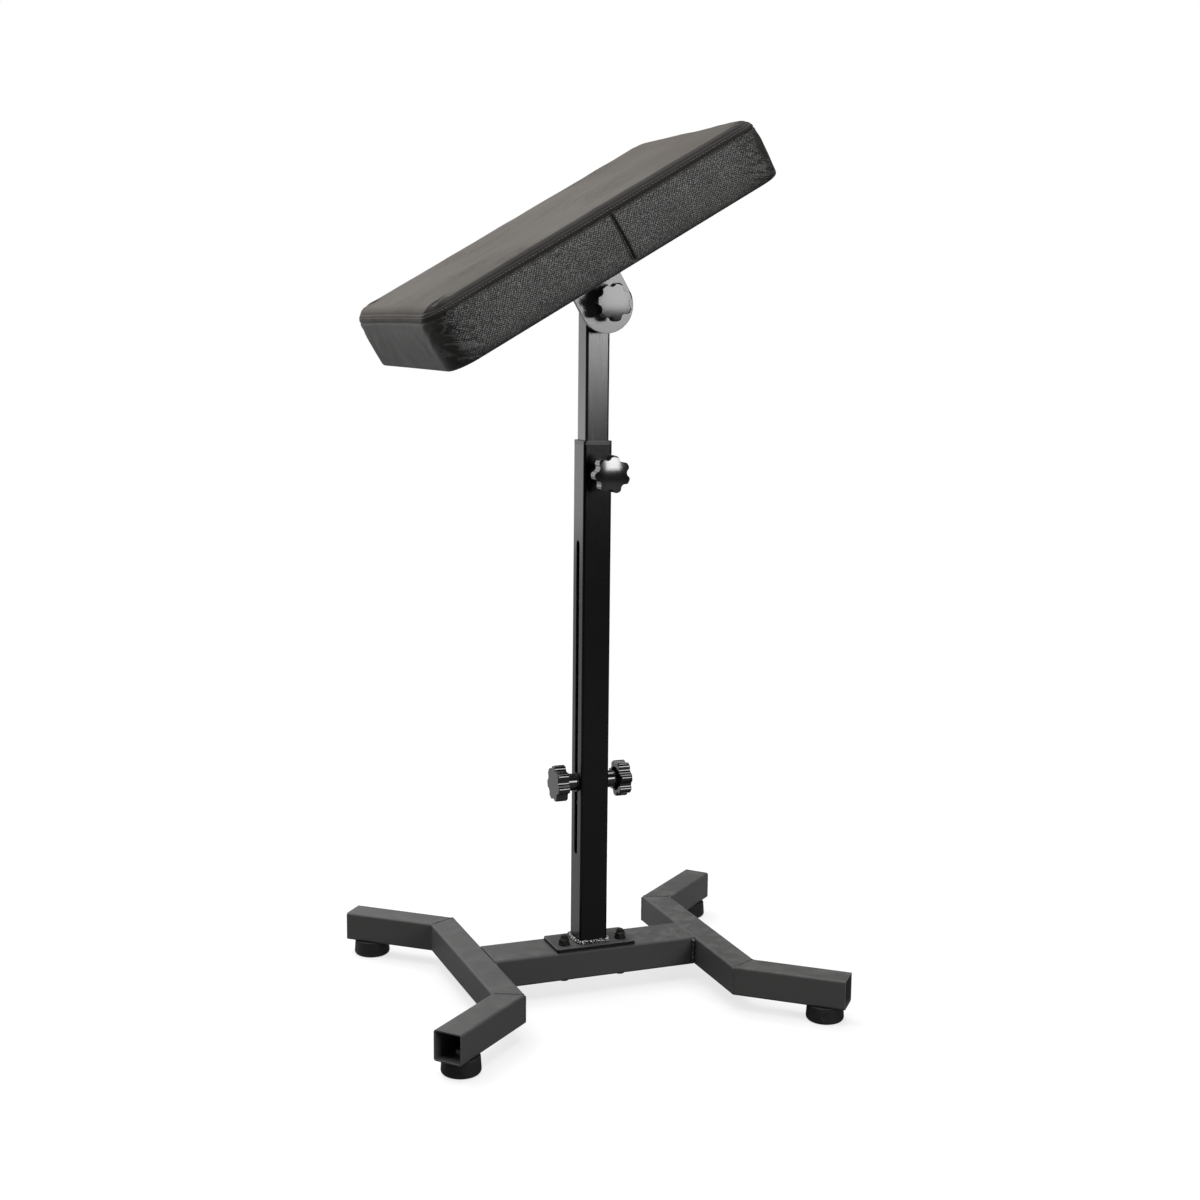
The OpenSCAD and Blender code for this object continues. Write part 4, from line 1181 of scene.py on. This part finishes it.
def make_foam():
    """The foam block, in place of its plain solid."""
    mesh = NODES["pad_foam"].data.copy()
    shape = bmesh.new()
    shape.from_mesh(mesh)
    bmesh.ops.remove_doubles(shape, verts=shape.verts, dist=1e-6)
    bmesh.ops.recalc_face_normals(shape, faces=shape.faces)
    shape.to_mesh(mesh)
    shape.free()
    mesh.materials.clear()
    foam = piece_from(mesh, "pad_foam_block", FOAM)
    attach(foam, "pad")
    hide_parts("pad_foam")


# The cloth under the pad: the gap between it and the hem, its height over the pad's underside
# and its thickness, and the cells along and across it
CLOTH_GAP, CLOTH_HEIGHT, CLOTH_THICK = 0.5 * MM, 0.55 * MM, 0.35 * MM
CLOTH_LONG_CELLS, CLOTH_SHORT_CELLS = 96, 64
CLOTH_HALF_X = PAD_LENGTH / 2 - HEM - CLOTH_GAP
CLOTH_HALF_Y = PAD_WIDTH / 2 - HEM - CLOTH_GAP
# Its puckers: depth at the edge, how fast they fade inwards, and their pitch
PUCKER_DEPTH, PUCKER_FADE, PUCKER_PITCH = 0.16 * MM, 0.014, 0.030
# The height of its slow waves, and how many there are to a metre
WAVE_DEPTH, CLOTH_WAVES = 0.10 * MM, 60
# How far in from its edge the staples run, and the radius of their row's corners
STAPLE_INSET, STAPLE_CORNER = 0.006, 0.012


def cloth_height(x, y):
    """Height of the cloth's lower face over the pad's underside."""
    edge = min(CLOTH_HALF_X - abs(x), CLOTH_HALF_Y - abs(y))
    along = x if CLOTH_HALF_Y - abs(y) < CLOTH_HALF_X - abs(x) else y
    pucker = math.exp(-edge / PUCKER_FADE) * math.cos(along * 2 * math.pi / PUCKER_PITCH)
    wave = WAVE_DEPTH * noise.noise(Vector((x, y, 0)) * CLOTH_WAVES)
    return CLOTH_HEIGHT - PUCKER_DEPTH * pucker + wave


def make_dust_cloth():
    """Black cloth under the pad, inside the hem, with small puckers along its edges."""
    nx, ny = CLOTH_LONG_CELLS, CLOTH_SHORT_CELLS
    points, faces = [], []
    for layer in range(2):
        for j in range(ny + 1):
            for i in range(nx + 1):
                x, y = CLOTH_HALF_X * (2 * i / nx - 1), CLOTH_HALF_Y * (2 * j / ny - 1)
                points.append((x, y, cloth_height(x, y) + layer * CLOTH_THICK))
    size = (nx + 1) * (ny + 1)
    for j in range(ny):
        for i in range(nx):
            a = j * (nx + 1) + i
            b, c, d = a + 1, a + nx + 2, a + nx + 1
            faces.append((a, d, c, b))
            faces.append((a + size, b + size, c + size, d + size))
    rim = [j * (nx + 1) + i for i, j in rim_of(nx + 1, ny + 1)]
    for k, a in enumerate(rim):
        b = rim[(k + 1) % len(rim)]
        faces.append((a, b, b + size, a + size))
    mesh = bpy.data.meshes.new("pad_dust_cloth")
    mesh.from_pydata(points, [], faces)
    smooth(mesh)
    cloth = piece_from(mesh, "pad_dust_cloth", CLOTH)
    mesh.transform(PAD_PLACE)
    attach(cloth, "pad")
    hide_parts("dust_cloth")


def make_staples():
    """The row of staples that holds the cloth, just inside its edge."""
    row = rounded_rectangle(CLOTH_HALF_X - STAPLE_INSET, CLOTH_HALF_Y - STAPLE_INSET,
                            STAPLE_CORNER, CLOTH_THICK, steps=4)
    staples = STAPLE.run("cloth_staples", path_mesh([(row, True)]), Pitch=0.024, Crown=0.0100,
                         Leg=0.0060, Wire_Radius=0.35 * MM, Material=ZINC)
    staples.data.transform(PAD_PLACE)
    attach(staples, "pad")


# Floor and background

FLOOR_HALF = 14.0
# Greys of the floor, as it lights the stand and as the camera sees it
FLOOR_LIT, FLOOR_SEEN = 120, 245
# Share of white that the camera sees near the stand, and the distances over which it grows to 1
NEAR_WHITE, FADE_FROM, FADE_TO = 0.75, 0.45, 1.3
# Share of white that reflections see in the floor behind the stand, and where it comes in
MIRROR_WHITE, MIRROR_FROM, MIRROR_TO = 0.45, 0.02, 0.22


def make_floor():
    """A pale floor that keeps the stand's shadow and fades to white away from it."""
    f = Finish("pale_floor", Roughness=0.7, Specular_IOR_Level=0.2)
    x, y, _ = f.axes(f.place)
    away = (x * x + y * y).math("SQRT").between(FADE_FROM, FADE_TO)
    seen = f.add("ShaderNodeLightPath", output="Is Camera Ray")
    f.set("Base Color", f.mix(seen, grey(FLOOR_LIT), grey(FLOOR_SEEN)))
    white = f.add("ShaderNodeEmission", None, {"Color": WHITE, "Strength": 1.0})
    mirrored = seen.output("Is Glossy Ray") * MIRROR_WHITE * y.between(MIRROR_FROM, MIRROR_TO)
    share = seen * (away * (1 - NEAR_WHITE) + NEAR_WHITE) + mirrored
    mixed = f.add("ShaderNodeMixShader", None, {
        0: share, 1: Channel(f, f.shader.outputs[0]), 2: white,
    })
    f.feed(f.tree.nodes["Material Output"].inputs["Surface"], mixed)
    mesh = bpy.data.meshes.new("floor")
    corners = [(-1, -1), (1, -1), (1, 1), (-1, 1)]
    points = [(sx * FLOOR_HALF, sy * FLOOR_HALF, 0) for sx, sy in corners]
    mesh.from_pydata(points, [], [(0, 1, 2, 3)])
    piece_from(mesh, "floor", f.material)


def set_world():
    """A dim even room that the camera sees as white."""
    world = bpy.data.worlds.new("room")
    world.use_nodes = True
    bpy.context.scene.world = world
    room = Graph(world.node_tree)
    lit = world.node_tree.nodes["Background"]
    room.feed(lit.inputs["Strength"], ROOM_LIGHT)
    room.feed(lit.inputs["Color"], WHITE)
    white = room.add("ShaderNodeBackground", None, {"Color": WHITE, "Strength": 1.0})
    seen = room.add("ShaderNodeLightPath", output="Is Camera Ray")
    mixed = room.add("ShaderNodeMixShader", None, {
        0: seen, 1: Channel(room, lit.outputs[0]), 2: white,
    })
    room.feed(world.node_tree.nodes["World Output"].inputs["Surface"], mixed)


set_camera()
set_lamps()
set_world()
make_floor()
dress_nodes()
weld_post_foot()
weld_crossbar()
weld_ear()
weld_mitres()
make_clamp_stud()
make_pad()
make_foam()
make_dust_cloth()
make_staples()

bpy.context.scene.view_settings.view_transform = "Standard"
